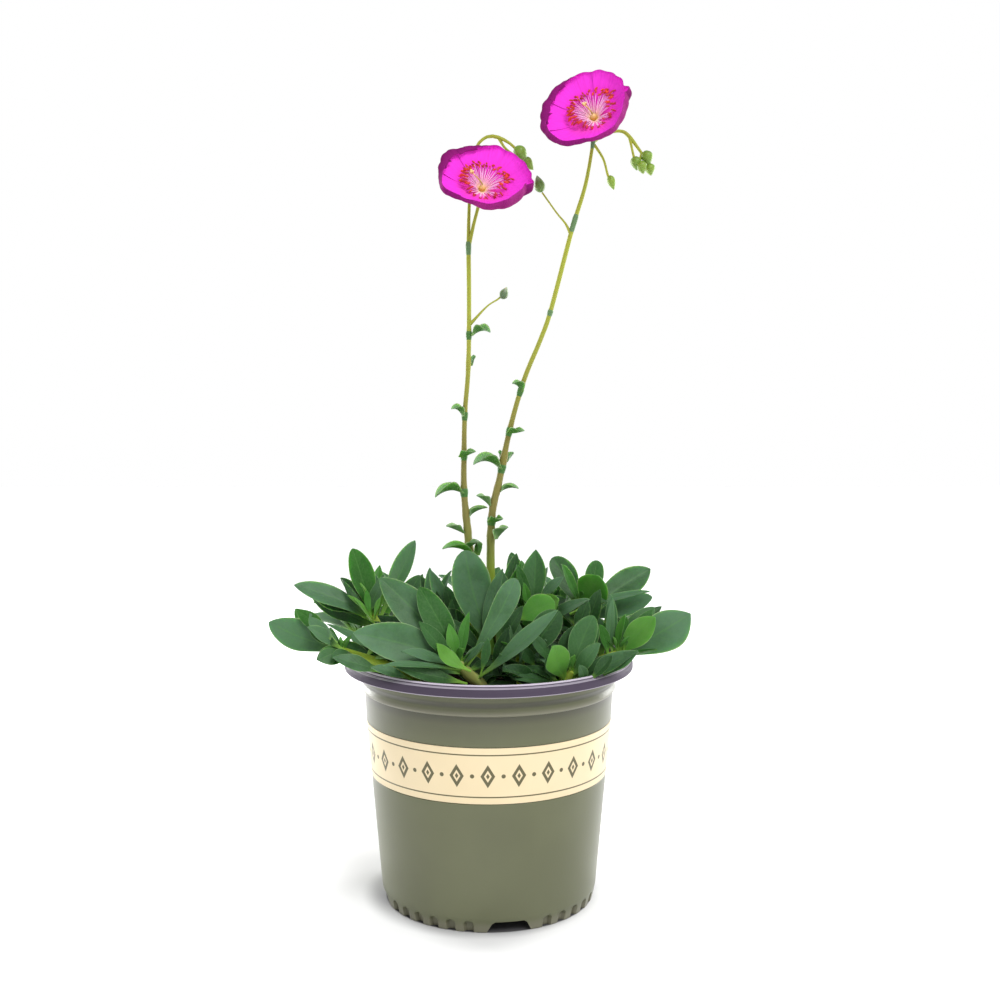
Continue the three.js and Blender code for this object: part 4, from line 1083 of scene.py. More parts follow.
# Leaves that start at a crown: tip x, y, z, width, arch, share turned to the front, drop below the
# crown, and tone from old and dark at 0 to young and bright at 1. A row may end with the leaf's
# shape: where it is widest, and how blunt its tip is.
LEAVES = {
    "front": [
        (-59, -40, 190, 20, 0.08, 0.8, 1, 0.24), (-37, -47, 186, 15, 0.06, 0.85, 2, 0.52, 0.6, 0.62),
        (-37, -55, 169, 9, 0.05, 0.7, 0, 0.45), (-21, -50, 167, 7, 0, 0.6, -1, 0.78),
        (-10, -48, 173, 6, 0.02, 0.55, -1, 0.66), (-27, -60, 158, 6.5, -0.2, 0.8, 2, 0.9),
        (-71, -62, 164, 21, 0.1, 0.8, 4, 0.24, 0.56, 0.78), (-45, -70, 156, 7, 0.1, 0.6, 5, 0.3),
        (-48, -66, 147, 10, 0.12, 0.45, 9, 0.22), (-63, -28, 164, 12, 0.1, 0.6, 4, 0.05),
        (15, -42, 190, 12.5, 0.07, 0.9, 3, 0.28, 0.78, 0.5), (37, -54, 175, 10, 0.06, 0.6, 14, 0.34),
        (-2, -62, 159, 5, 0.0, 0.6, 1, 0.3),
    ],
    "left": [
        (-121, -30, 164, 18, 0.08, 0.8, 2, 0.3), (-109, -13, 168.5, 9, 0.06, 0.5, 1, 0.62),
        (-98, -33, 169.5, 8, 0.04, 0.7, -2, 0.3), (-86, -40, 163, 4, 0, 0.1, -1, 0.5),
        (-96, -54, 166, 9, 0.08, 0.6, 0, 0.35), (-91, -58, 149, 12, 0.15, 0.7, 3, 0.5),
        (-82, -62, 151, 9, 0.1, 0.6, 9, 0.4),
    ],
    "left_upper": [
        (-110, -10, 181.5, 13, 0.12, 0.75, 4, 0.3), (-104, 12, 172, 13, 0.1, 0.5, 11, 0.12),
        (-78, 0, 201, 14, 0.05, 0.85, 2, 0.56, 0.62, 0.62), (-86, 8, 183, 7, 0.05, 0.6, 3, 0.1),
        (-67, 4, 187, 9, 0, 0.5, 1, 0.2), (-64, 18, 189, 9, 0.05, 0.7, 3, 0.7),
        (-43, 14, 204, 11.5, 0.06, 0.8, 3, 0.4, 0.64, 0.75), (-72, -12, 183, 4, 0.05, 0.4, -1, 0.95),
        (-58, -6, 178, 4, 0.05, 0.4, 0, 0.95), (-79, -12, 176, 5, 0.05, 0.4, 1, 0.9),
    ],
    "centre": [
        (8, -4, 186, 9, 0.06, 0.6, 6, 0.6), (3, -18, 162, 8, 0.08, 0.5, 2, 0.2),
        (-27, -12, 168, 12, 0.06, 0.6, 3, 0.12),
    ],
    "centre_left": [
        (-35, 22, 187, 7, 0.06, 0.5, 1, 0.35), (-22, 10, 187, 6, 0.05, 0.5, 2, 0.3),
        (-43, 32, 181, 11, 0.05, 0.7, 1, 0.1), (-30, 2, 176, 8, 0.06, 0.6, 4, 0.15),
    ],
    "centre_right": [
        (27, 4, 200, 14, 0.03, 0.85, 0, 0.43), (13, 22, 196, 12, 0.05, 0.8, 1, 0.15),
        (19, 16, 192, 8, 0.06, 0.4, 2, 0.6), (16, -2, 192, 7, 0.02, 0.7, 1, 0.5),
        (20, -4, 182, 5, 0, 0.6, 2, 0.75), (39, -18, 175, 14, 0.05, 0.75, 3, 0.95, 0.62, 0.5),
        (41, -10, 185, 5, 0.05, 0.4, 0, 0.3), (34, 10, 189, 5, 0.05, 0.6, 0, 0.4),
        (34, -50, 143, 8, 0.1, 0.7, 14, 0.28), (56, -24, 176, 9, 0.08, 0.6, 8, 0.22),
        (42, 10, 166, 12, 0.1, 0.4, 8, 0.12), (4, 4, 167, 11, 0.1, 0.4, 10, 0.1),
        (46, -8, 156, 11, 0.1, 0.4, 12, 0.1),
    ],
    "right": [
        (37.5, 22, 193, 14.5, 0.05, 0.85, 2, 0.15, 0.66, 0.5), (42, 0, 192, 7, 0.03, 0.5, 0, 0.6),
        (63, 16, 192, 11, 0.03, 0.8, 1, 0.45, 0.7, 0.5),
        (62.5, -7, 186, 20.5, 0.03, 0.85, 1, 0.78, 0.66, 0.5),
        (96, 30, 185, 17, 0.04, 0.75, 8, 0.22, 0.68, 0.85),
        (93, -6, 174, 12.5, 0.06, 0.8, 6, 0.32, 0.66, 0.6), (62, -10, 167, 6, 0.05, 0.3, 7, 0.5),
    ],
    "right_lower": [
        (93, -16, 170, 12, 0.06, 0.75, 2, 0.45), (112, -26, 168, 23, 0.04, 0.8, 5, 0.33, 0.68, 0.9),
        (99, -2, 168, 9, 0.06, 0.6, 3, 0.08), (91, -38, 168, 14, 0.03, 0.85, 2, 0.86, 0.64, 0.75),
        (91, -46, 152, 4, 0.05, 0.3, 4, 0.5), (68, -22, 178, 7, 0.06, 0.35, 2, 0.35),
        (75, -34, 169, 5, 0.02, 0.4, 0, 0.75), (61, -32, 163, 7, 0.05, 0.5, 4, 0.6),
    ],
    "front_right": [
        (57, -44, 170, 14, 0.04, 0.8, 3, 0.46, 0.62, 0.6), (59, -58, 158, 9, 0.05, 0.7, 3, 0.4),
        (34, -68, 158, 15, 0.0, 0.9, 5, 0.87, 0.62, 0.6), (80, -54, 153, 11, 0.1, 0.6, 6, 0.18),
        (67, -50, 149, 9, 0.08, 0.5, 5, 0.12),
    ],
    "middle": [
        (-26, 26, 172, 15, 0.06, 0.5, 2, 0.12), (-10, 36, 182, 13, 0.06, 0.6, 1, 0.15),
        (12, 38, 182, 13, 0.06, 0.6, 1, 0.15), (27, 30, 172, 14, 0.06, 0.5, 2, 0.12),
        (-8, 16, 163, 12, 0.05, 0.4, 4, 0.1), (18, 16, 164, 12, 0.05, 0.4, 5, 0.1),
    ],
    "centre_front": [
        (39, -36, 171, 16, 0.04, 0.85, 2, 0.1, 0.66, 0.52), (8, -63, 144, 13, 0.12, 0.7, 9, 0.05),
        (19, -46, 153, 8, 0.1, 0.6, 3, 0.3), (13, -26, 167, 8, 0.04, 0.7, 2, 0.2),
    ],
}

# Leaves that start elsewhere: base x, y, z, tip x, y, z, width, arch, share to the front, tone, shape.
MORE_LEAVES = {
    "left": [
        (-77, -52, 153, -97, -40, 164, 8, 0.1, 0.75, 0.12),
        (-55, -58, 142, -81, -66, 152, 9, 0.06, 0.75, 0.18),
        (-77, -50, 152, -90, -60, 149, 9, 0.12, 0.85, 0.42),
        (-84, -43, 157, -106, -28, 171, 9, 0.08, 0.7, 0.58),
        (-81, -49, 156, -97, -42, 169, 8, 0.08, 0.75, 0.3),
        (-40, -62, 139, -61, -68, 147, 7, 0.05, 0.6, 0.3),
        (-54, -44, 140, -86, -36, 153, 13, 0.05, 0.7, 0.15),
        (-50, -40, 139, -76, -30, 158, 11, 0.05, 0.7, 0.1),
    ],
    "left_upper": [
        (-70, -4, 162, -101, -2, 176, 14, 0.06, 0.8, 0.08),
        (-67, -8, 163, -83, -6, 184, 5, 0.03, 0.6, 0.08), (-69, -10, 163, -59, -12, 188, 7, 0.05, 0.8, 0.2),
        (-66, -12, 162, -75, -14, 175, 3, 0.05, 0.5, 0.9),
        (-65, -12, 162, -61, -14, 175, 3, 0.05, 0.5, 0.85),
        (-66, -12, 163, -69, -12, 179, 4, 0.03, 0.6, 0.75), (-60, 2, 158, -55, 8, 182, 7, 0.05, 0.7, 0.75),
        (-56, 2, 158, -40, 6, 185, 12, 0.04, 0.8, 0.1),
    ],
    "front": [
        (-23, -44, 140, -89, -30, 163, 7, 0.1, 0.5, 0.36),
        (-20, -44, 141, -61, -32, 168, 14, 0.08, 0.8, 0.0),
        (-11, -58, 136, -48, -72, 148, 8, 0.06, 0.75, 0.1),
        (-14, -60, 144, -54, -76, 150, 5, 0.06, 0.5, 0.35),
        (-15, -46, 142, -28, -38, 178, 9, 0.06, 0.8, 0.05),
        (-9, -60, 143, -26, -72, 160, 8, -0.22, 0.85, 0.88),
    ],
    "centre_left": [
        (-16, 6, 147, -34, 6, 188, 9, 0.07, 0.8, 0.25), (-20, 10, 140, -41, 14, 174, 9, 0.07, 0.8, 0.1),
        (-17, 0, 142, -25, 4, 179, 9, 0.06, 0.8, 0.1), (-18, -8, 141, -21, -8, 173, 7, 0.05, 0.7, 0.45),
    ],
    "centre": [
        (3, -10, 142, -13.5, -16, 202, 22, 0.05, 0.88, 0.24, 0.7, 0.52),
        (5, -14, 142, 7, -10, 190, 13, 0.05, 0.75, 0.4), (-2, -14, 142, 8, -18, 192, 8, 0.08, 0.7, 0.3),
        (-1, -26, 143, -22, -34, 167, 7, 0.05, 0.8, 0.05), (6, -24, 141, 19, -30, 173, 8, 0.06, 0.8, 0.12),
        (1, -34, 137, 11, -40, 163, 8, 0.06, 0.8, 0.05), (-4, -58, 141, 0, -66, 162, 5, -0.1, 0.7, 0.4),
    ],
    "centre_right": [
        (6, 4, 159, 16, 10, 197, 9, 0.06, 0.8, 0.1), (5, 2, 166, 19, 2, 193, 5, 0.06, 0.5, 0.6),
        (18, 6, 159, 16, 6, 191, 7, 0.05, 0.8, 0.3), (28, -4, 172, 42, -10, 186, 6, 0.05, 0.85, 0.3),
        (20, 0, 148, 26, -6, 173, 6, 0.05, 0.8, 0.6), (24, -6, 149, 37, -14, 176, 13, 0.03, 0.85, 0.68),
        (37, -36, 140, 23, -42, 160, 7, 0.04, 0.85, 0.38), (26, -34, 139, 17, -40, 153, 7, 0.05, 0.8, 0.45),
        (33, -30, 136, 31, -38, 156, 8, 0.05, 0.8, 0.35),
        (14, -24, 164, 36.5, -28, 175, 15, 0.05, 0.9, 0.8, 0.62, 0.5),
    ],
    "centre_front": [
        (28, -44, 133, 8, -56, 144, 10, 0.1, 0.85, 0.05), (39, -40, 134, 47, -44, 165, 10, 0.05, 0.85, 0.1),
        (37, -42, 133, 32, -50, 150, 6, 0.05, 0.8, 0.2),
    ],
    "front_right": [
        (51, -40, 140, 57, -42, 169, 12, 0.05, 0.85, 0.4), (48, -36, 143, 50, -34, 166, 8, 0.05, 0.85, 0.2),
        (47, -48, 144, 60, -54, 157, 6, 0.05, 0.85, 0.45), (54, -56, 137, 66, -58, 151, 7, 0.06, 0.8, 0.1),
        (52, -54, 135, 48, -62, 147, 6, 0.05, 0.8, 0.15),
    ],
    "right": [
        (55, -6, 149, 63, -10, 179, 10, 0.05, 0.8, 0.15), (67, -14, 142, 65, -16, 161, 6, 0.04, 0.7, 0.55),
        (64, 10, 152, 90, 22, 173, 12, 0.06, 0.8, 0.1), (46, -4, 164, 91, -10, 178, 6, 0.08, 0.5, 0.3),
        (48, -20, 152, 55, -24, 175, 8, 0.05, 0.8, 0.1),
    ],
    "right_lower": [
        (72, -28, 145, 91, -24, 170, 9, 0.06, 0.8, 0.45), (75, -22, 143, 101, -10, 166, 8, 0.06, 0.7, 0.05),
        (69, -26, 144, 69, -26, 177, 5, 0.03, 0.6, 0.33), (74, -30, 146, 76, -30, 167, 4, 0.03, 0.5, 0.6),
        (58, -48, 136, 80, -56, 153, 9, 0.08, 0.7, 0.22),
    ],
    "middle": [
        (9, 22, 138, -2, 20, 170, 11, 0.05, 0.8, 0.05), (33, 22, 138, 41, 22, 174, 11, 0.05, 0.8, 0.05),
        (-35, 20, 135, -48, 20, 168, 11, 0.05, 0.8, 0.08), (51, 20, 144, 60, 18, 174, 9, 0.05, 0.8, 0.05),
    ],
}


def ruled_leaves(shoot, draw):
    """Leaf rows by the golden angle: a whorl that rises and shortens, and a second one at random rises."""
    x, y, z = shoot["crown"]
    outward = math.atan2(y, x)

    def tip_at(angle, rise, length):
        level = length * math.cos(rise)
        return x + level * math.cos(angle), y + level * math.sin(angle), z + length * math.sin(rise)

    made = []
    for i in range(shoot["count"]):
        share = i / (shoot["count"] - 1)
        angle = math.radians(shoot["start"]) + GOLDEN_ANGLE * i
        side = math.cos(angle - outward)
        rise = math.radians(14 + 56 * share - 12 * side)
        length = shoot["reach"] * (1 - 0.42 * share) * (1 + 0.2 * side)
        tone = 0.25 + 0.3 * share + draw.uniform(-0.1, 0.1)
        made.append((*tip_at(angle, rise, length), RULED_WIDTH * length, 0.1, 0, 5 * (1 - share), tone))
    for i in range(SECOND_WHORL):
        angle = math.radians(shoot["start"] + SECOND_TURN) + GOLDEN_ANGLE * i
        rise = math.radians(draw.uniform(*SECOND_RISES))
        length = shoot["reach"] * draw.uniform(*SECOND_LENGTHS)
        drop, tone = draw.uniform(1, 6), draw.uniform(0.15, 0.55)
        made.append((*tip_at(angle, rise, length), RULED_WIDTH * length, 0.08, 0, drop, tone))
    return made


def add_shoot(name, shoot, materials, seed):
    draw = random.Random(seed)
    ground = SOIL_TOP + SOIL_CROWN
    foot_x, foot_y = shoot["foot"]
    crown = np.array(shoot["crown"], float)
    base = np.array([foot_x, foot_y, ground + 2.0])
    bend = np.array(shoot["elbow"], float) if "elbow" in shoot else base + (crown - base) * 0.55
    thick = shoot.get("thick", STEM_RADIUS)
    root = (foot_x, foot_y, ground - STEM_DEPTH, thick)
    path = curve([root, (*base, thick), (*bend, thick), (*crown, thick * 0.8)], STEM_STEPS)
    trunk, blades = Skin(), Skin()
    tube(trunk, path, STEM_SIDES, tone=shoot.get("blush", STEM_BLUSH))
    down = unit(bend - crown)
    faces = crown + UP * FACES_ABOVE
    for row in LEAVES.get(name) or ruled_leaves(shoot, random.Random(len(name))):
        tip, (width, arch, front, drop, tone, *shape) = row[:3], row[3:]
        start = crown + down * (drop + 1.5)
        out = unit(np.array([tip[0] - start[0], tip[1] - start[1], 0]))
        leaf(blades, start + out * thick * 0.4, tip, faces, width, draw, arch, front, tone, shape=shape)
    for row in MORE_LEAVES.get(name, ()):
        start, tip, (width, arch, front, tone, *shape) = row[:3], row[3:6], row[6:]
        leaf(blades, start, tip, faces, width, draw, arch, front, tone, shape=shape)
    add_crown_leaves(blades, crown, draw, seed, shoot.get("young", 1.0))
    add_low_leaves(blades, path, draw)
    piece("stem_" + name, trunk, materials["stalk"], "stalk", "shoot_" + name)
    piece("leaves_" + name, blades, materials["leaf"], "leaf", "shoot_" + name)


def add_crown_leaves(blades, crown, draw, seed, size):
    """The small young leaves that stand close together at the end of a shoot."""
    faces = crown + UP * FACES_ABOVE
    for i in range(CROWN_LEAVES):
        rise, length, width, tone = (first + i * change for first, change in YOUNG_LEAVES)
        way = way_out(GOLDEN_ANGLE * i + seed, math.radians(rise))
        tip = crown + way * (length * size) + UP
        start = crown + way * 1.2
        leaf(blades, start, tip, faces, width * size, draw, 0.1, 0, tone, YOUNG_THICKNESS, rows=12)


def add_low_leaves(blades, path, draw):
    """The old dark leaves low on a shoot, which hide the soil."""
    for i in range(LOW_LEAVES):
        start = path[int(len(path) * (0.35 + 0.5 * i / LOW_LEAVES)), :3]
        for _ in range(LOW_LEAF_TRIES):
            angle, rise = draw.uniform(0, TURN), math.radians(draw.uniform(*LOW_LEAF_RISES))
            length = draw.uniform(*LOW_LEAF_LENGTHS)
            way = way_out(angle, rise)
            tip = start + way * length
            if math.hypot(tip[0], tip[1]) < LOW_LEAF_SPREAD and way[1] > LOW_LEAF_FRONT:
                break
        else:
            continue
        tip[2] = max(tip[2], LOW_LEAF_BOTTOM)
        faces = start + UP * FACES_ABOVE
        width, tone = LOW_LEAF_WIDTH * length, draw.uniform(0, 0.22)
        leaf(blades, start, tip, faces, width, draw, 0.12, 0.25, tone)


# Flower stalks: rows of x, y, z and radius, buds as centre, direction, length, radius and tone, and
# clasping leaves as base, shoulder, tip, width and tone. A joint is a level and how tall its ring is.
# A flower has its centre, the direction it faces, its turn in degrees and its stigma. Its reach says
# at some angles how far out the petals come, as a share of their length.
STALKS = {
    "a": {
        "flower": {
            "centre": (-4, -3, 401),
            "faces": (0.18, -0.75, 0.66),
            "turn": 0,
            "stigma": (-7.2, 3, 10),
            "reach": (
                (0, 1.03), (15, 0.96), (90, 0.98), (120, 1.03), (150, 1.12), (180, 1.03), (200, 1.07),
                (225, 1.2), (242, 1.02), (255, 0.92), (270, 1.06), (295, 1.17), (330, 1.12), (346, 1.14),
            ),
        },
        "joints": [(370.5, 1.5)],
        "stem": [
            (-11, 2, 110, 2.1), (-11, 2, 130, 2.2), (-10.5, 1, 165, 2.3), (-11.5, 0, 203, 2.2),
            (-14, 0, 233, 1.85), (-14, 0, 256, 1.55), (-13.5, 0, 278, 1.4), (-11.5, 0, 304, 1.35),
            (-11, 0, 340, 1.27), (-11.3, 0, 374, 1.35),
        ],
        "branches": [
            [(-11.3, 0, 370, 1.2), (-8.4, 0, 383, 1.0), (-6, -1, 392, 1.0), (-4.5, -2, 398, 1.5)],
            [
                (-11.3, 0, 372, 1.2), (-11, 3, 390, 1.0), (-10, 8, 412, 0.95), (-7, 9, 427, 0.9),
                (-1, 9, 433, 0.9), (5.5, 8, 432.5, 1.1), (12, 7, 429, 0.8), (18, 6, 423, 0.9),
            ],
            [(5.5, 8, 432.5, 1.0), (10, 8, 426, 0.7), (20, 8, 419, 0.8)],
            [(-10.5, 0, 328, 1.0), (-1, 1, 338, 0.5), (5, 2, 342, 0.5), (8, 2, 344.5, 0.6)],
        ],
        "buds": [
            ((18.2, 6, 423), (0.5, 0, -0.8), 10.5, 4.3, 0.6),
            ((22.2, 8, 418), (0.6, 0, -0.7), 9, 3.6, 0.8),
            ((8.8, 2, 345.6), (0.4, 0, 0.9), 7.4, 3.0, 0.05),
        ],
        "leaves": [
            ((-9.6, -1, 322), (-4.3, -2, 324.8), (1.1, -4, 323.4), 6.5, 0.3),
            ((-10.3, 1, 305.3), (-8.9, 3, 308.4), (-8.6, 4, 311.2), 3.6, 0.6),
            ((-14.2, -1, 276.6), (-17.1, -2, 280.4), (-21.2, -3, 280.7), 5.5, 0.3),
            ((-15.7, -2, 254), (-11.9, -5, 255.2), (-7.2, -8, 257), 6, 0.15),
            ((-14.6, -1, 233.2), (-22.2, -3, 235.1), (-30.4, -5, 230.8), 8.5, 0.3),
            ((-11.8, 0, 219.1), (-7.6, 1, 222.7), (-0.7, 2, 224.4), 5, 0.55),
            ((-14.1, -1, 210.6), (-19.2, -3, 212.9), (-24.2, -5, 214.6), 5.5, 0.7),
            ((-7.2, -4, 197.2), (-16.8, -7, 202.5), (-26.3, -9, 201.8), 6, 0),
            ((-12.9, -3, 201.1), (-9.5, -5, 203.9), (-4.9, -6, 205.7), 5, 0.4),
            ((-7, -3, 198), (-6, -5, 202.5), (-7, -7, 206.5), 4.5, 0.4),
        ],
    },
    "b": {
        "flower": {
            "centre": (58.8, -2, 440),
            "faces": (-0.28, -0.78, 0.54),
            "turn": 24,
            "stigma": (-1.8, 4, 10),
            "reach": (
                (0, 0.85), (25, 0.87), (50, 0.94), (75, 0.94), (90, 1.0), (110, 1.09), (150, 1.15),
                (195, 1.23), (222, 1.22), (242, 1.06), (260, 1.04), (280, 1.04), (315, 0.95), (345, 0.98),
            ),
        },
        "joints": [(334.5, 0.7), (384.5, 2.0), (428, 1.2)],
        "stem": [
            (2, 8, 110, 2.5), (2, 8, 130, 2.5), (1.5, 5, 165, 2.5), (1, 2, 196, 2.45), (2, 0, 222, 2.05),
            (6, 0, 240, 1.95), (12, 0, 269, 1.55), (20, 0, 297, 1.4), (29, 0, 319, 1.33), (35, 0, 336, 1.35),
            (46.5, 0, 380, 1.3), (54, 0, 405, 1.1), (58, -1, 428, 1.0), (58.8, -1.5, 436, 1.5),
        ],
        "branches": [
            [(46, 0, 378, 1.1), (43, 1, 384, 0.65), (38, 1, 390, 0.5), (30, 1, 401, 0.5)],
            [(58, -1, 428, 0.9), (64, 3, 420, 0.7), (66.5, 4, 412, 0.7), (68, 4, 408, 0.8)],
            [
                (58, -1, 428, 0.9), (65, 6, 434, 0.9), (74, 8, 436, 0.9), (79, 8, 433, 1.1),
                (86, 8, 424, 0.8), (89, 8, 421, 0.9),
            ],
            [(79, 8, 433, 0.9), (80.5, 7, 426, 0.7), (82, 6, 419, 0.8)],
            [(86, 8, 424, 0.8), (85, 7, 419, 0.7), (85.5, 6, 416, 0.8)],
            [(86, 8, 424, 0.8), (90, 9, 418, 0.7), (91, 9, 415, 0.8)],
        ],
        "buds": [
            ((28.2, 1, 405.8), (-0.25, 0, 0.95), 9.8, 3.6, 0.3),
            ((69, 4, 407), (0.3, 0, -0.9), 8.5, 2.7, 0.85),
            ((89.2, 8, 421), (0.2, 0, -0.9), 9, 4.0, 0.65),
            ((82.8, 6.5, 418), (0.1, 0, -0.9), 8, 3.6, 0.6),
            ((86, 5, 415.5), (0.2, 0, -0.9), 7.5, 3.4, 0.75),
            ((91, 9, 415), (0.15, 0, -0.9), 7, 3.4, 0.8),
        ],
        "leaves": [
            ((18.8, -1, 290.4), (16.7, -2, 293.9), (13.2, -3, 295), 6, 0.3),
            ((11.5, -2, 267.8), (15.1, -5, 267.7), (20.1, -8, 268.7), 5.5, 0.15),
            ((9.8, 2, 250.9), (12.4, 4, 253.4), (14, 5, 256), 5, 0.6),
            ((7.8, 1, 252.1), (6.7, 3, 254.6), (6.4, 4, 257.2), 3.5, 0.4),
            ((7, -1, 246.8), (-0.4, -3, 251.6), (-8.7, -5, 249.3), 8.5, 0.3),
            ((6.1, 0, 233.9), (11.2, 1, 236.1), (17.2, 1, 235.3), 4.5, 0.5),
            ((1, -1, 226), (-2.7, -2, 229.4), (-7, -4, 231.8), 5.5, 0.65),
            ((0.7, -2, 217), (4.4, -5, 217.4), (8.2, -8, 219), 6.5, 0.2),
            ((4.3, -1, 207.1), (7.1, -2, 210.4), (11.1, -3, 213.8), 8, 0.6),
        ],
    },
}

STALK_SIDES = 16
STALK_STEPS = 110
BRANCH_SIDES = 10
BRANCH_STEPS = 26
BUD_ROWS = 13
BUD_SIDES = 20
# Levels up a clasping leaf's foot from the leaf's base, and how far the foot stands off the stalk.
SHEATH_LEVELS = (-2.6, -1.8, -0.4, 1.2, 2.2)
SHEATH_PROUD = (0.02, 0.16, 0.3, 0.34, 0.1)
# The palest tone of a clasping leaf whose foot is wrapped round the stalk, and the tone of a joint.
WRAPPED_TONE = 0.3
JOINT_TONE = 0.9
# What all clasping leaves share, and the sepals after them, as settings of a leaf.
CLASPING = {"thickness": 0.9, "rows": 20, "petiole": 0.85, "fold": 1.0, "roll": 30, "shape": (0.35, 0.8)}
SEPAL = {"arch": -0.05, "tone": 0.5, "thickness": 0.9, "rows": 14}
SEPAL_COUNT = 2
SEPAL_REACH = 11
SEPAL_WIDTH = 9
SEPAL_LEVEL = -2
# The green cup under a flower, along the flower's axis, as rows of height and radius.
CUP = ((-7, 1.1), (-4.5, 1.3), (-3, 1.8), (-1.5, 3), (0, 3.4))
CUP_SIDES = 20


def bud(skin, centre, way, length, radius, tone):
    """A plump bud with two seams, pointed at its end."""
    axis = unit(np.array(way, float))
    right = square_to(np.array([0, 1.0, 0]), axis)
    forward = np.cross(axis, right)
    u = np.linspace(0.02, 0.99, BUD_ROWS)[:, None, None]
    turn = full_turn(BUD_SIDES)[None, :, None]
    share = np.sin(math.pi * u ** 0.8) ** 0.75 * (1 - 0.25 * u)
    seam = np.cos(2 * turn)
    swell = radius * share * (1 + 0.1 * seam * u)
    outward = right * np.cos(turn) + forward * np.sin(turn)
    rings = np.array(centre) + axis * (u - 0.5) * length + swell * outward
    tip = np.array(centre) + axis * length / 2
    loft(skin, rings, tip, tone=tone, along=u[..., 0], across=seam[..., 0])


def sheath(skin, path, level, tone, tall=1.0):
    """The foot of a clasping leaf, wrapped round the stalk at a level."""
    levels = level + tall * np.array(SHEATH_LEVELS)
    column = [np.interp(levels, path[:, 2], path[:, i]) for i in range(4)]
    column[3] = column[3] + np.array(SHEATH_PROUD)
    along = 0.35 + 0.4 * even_rise(len(levels))
    tube(skin, np.stack(column, axis=1), STALK_SIDES, end=0, tone=tone, under=1.0, along=along)


def add_stalk(name, stalk, materials, seed):
    draw = random.Random(seed)
    stems, buds, blades, cup = Skin(), Skin(), Skin(), Skin()
    path = curve(stalk["stem"], STALK_STEPS)
    for base, *_ in stalk["leaves"]:
        path[:, 3] *= 1 + 0.16 * hump(path[:, 2] - base[2] - 1, 3)
    tube(stems, path, STALK_SIDES)
    for branch in stalk["branches"]:
        tube(stems, curve(branch, BRANCH_STEPS), BRANCH_SIDES)
    for row in stalk["buds"]:
        bud(buds, *row)
    for base, shoulder, tip, width, tone in stalk["leaves"]:
        above = (base[0], base[1], base[2] + FACES_ABOVE)
        leaf(blades, base, tip, above, width, draw, tone=tone, shoulder=shoulder, **CLASPING)
        if tone <= WRAPPED_TONE and base[1] < 0:
            sheath(blades, path, base[2], tone)
    for level, tall in stalk["joints"]:
        sheath(blades, path, level, JOINT_TONE, tall)
    place = flower_place(stalk["flower"])
    for i in range(SEPAL_COUNT):
        sepal = Skin()
        angle = (i + 0.25) * math.pi
        tip = (SEPAL_REACH * math.cos(angle), SEPAL_REACH * math.sin(angle), SEPAL_LEVEL)
        leaf(sepal, (0, 0, SEPAL_LEVEL), tip, (0, 0, 30), SEPAL_WIDTH, draw, **SEPAL)
        sepal.move(*place)
        blades.join(sepal)
    tube(cup, [(0, 0, *row) for row in CUP], CUP_SIDES)
    cup.move(*place)
    stems.join(cup)
    node = "flower_stalk_" + name
    piece("stalk_" + name, stems, materials["stalk"], "stalk", node)
    piece("buds_" + name, buds, materials["bud"], "stalk", node)
    piece("stalk_leaves_" + name, blades, materials["stalk_leaf"], "leaf", node)


# Flowers, drawn about +Z with the base ring at the origin, then placed

PETAL_LENGTH = 31
PETAL_THICKNESS = 0.34
PETAL_ROWS = 44
PETAL_COLUMNS = 49
# Where a petal starts and where it has its whole span, as shares of its length, and its height and
# its slope in degrees at its foot.
PETAL_START = 0.05
PETAL_FULL = 0.72
PETAL_FOOT = 0.9
PETAL_SLOPE = 5
# Each petal: its middle and half span in degrees, and how far it opens up in degrees.
PETALS = ((18, 43, 34), (88, 42, 33), (141, 40, 34), (196, 43, 34), (284, 54, 35))
# The rim all round, as angle, turn of the rim in degrees, and the share of the petal that turns.
RIM_TURN = (
    (-5, 55, 0.2), (20, 24, 0.2), (45, 12, 0.2), (70, 30, 0.1), (88, 120, 0.07), (104, 150, 0.12),
    (128, 165, 0.17), (150, 165, 0.2), (170, 130, 0.18), (190, 95, 0.16), (215, 62, 0.14), (245, 50, 0.12),
    (275, 46, 0.2), (305, 58, 0.32), (335, 66, 0.32), (355, 55, 0.2),
)
# The angle in degrees at which a petal runs out to a point.
POINT_ANGLE = -15
STAMEN_COUNT = 84
# How far out a stamen stands at least, how much further at most, and how much more than that on one
# side. Then its height in the middle, and what it loses for each millimetre out.
STAMEN_NEAREST = 8.8
STAMEN_SPREAD = 4.6
STAMEN_LEAN = 3.8
STAMEN_HEIGHT = 12.4
STAMEN_DROOP = 0.32
# How much nearer, lower and smaller a stamen is at the very front, as shares.
FRONT_NEARER = 0.4
FRONT_LOWER = 0.72
FRONT_SMALLER = 0.45
# A filament's foot, as its way out and its height, and its radius at its foot, knee and head.
FILAMENT_FOOT = (1.8, 1.2)
FILAMENT_RADII = (0.3, 0.23, 0.17)
# Where every second stamen at the front is left out.
THIN_FRONT = 0.8
# The ovary as height and radius, and the style as share of the way to the stigma, height and radius.
OVARY = ((0.4, 1.3), (1.6, 1.8), (3.0, 1.7), (4.2, 0.9), (4.8, 0.4))
STYLE = ((0, 4.6, 0.4), (0.2, 6.6, 0.35), (0.7, 9, 0.35))
STIGMA_LOBES = 3
LOBE_REACH = 0.7
# An anther as shares of its half length and of its half width.
ANTHER = ((-1, 0.3), (-0.6, 0.85), (0, 1), (0.6, 0.85), (1, 0.3))


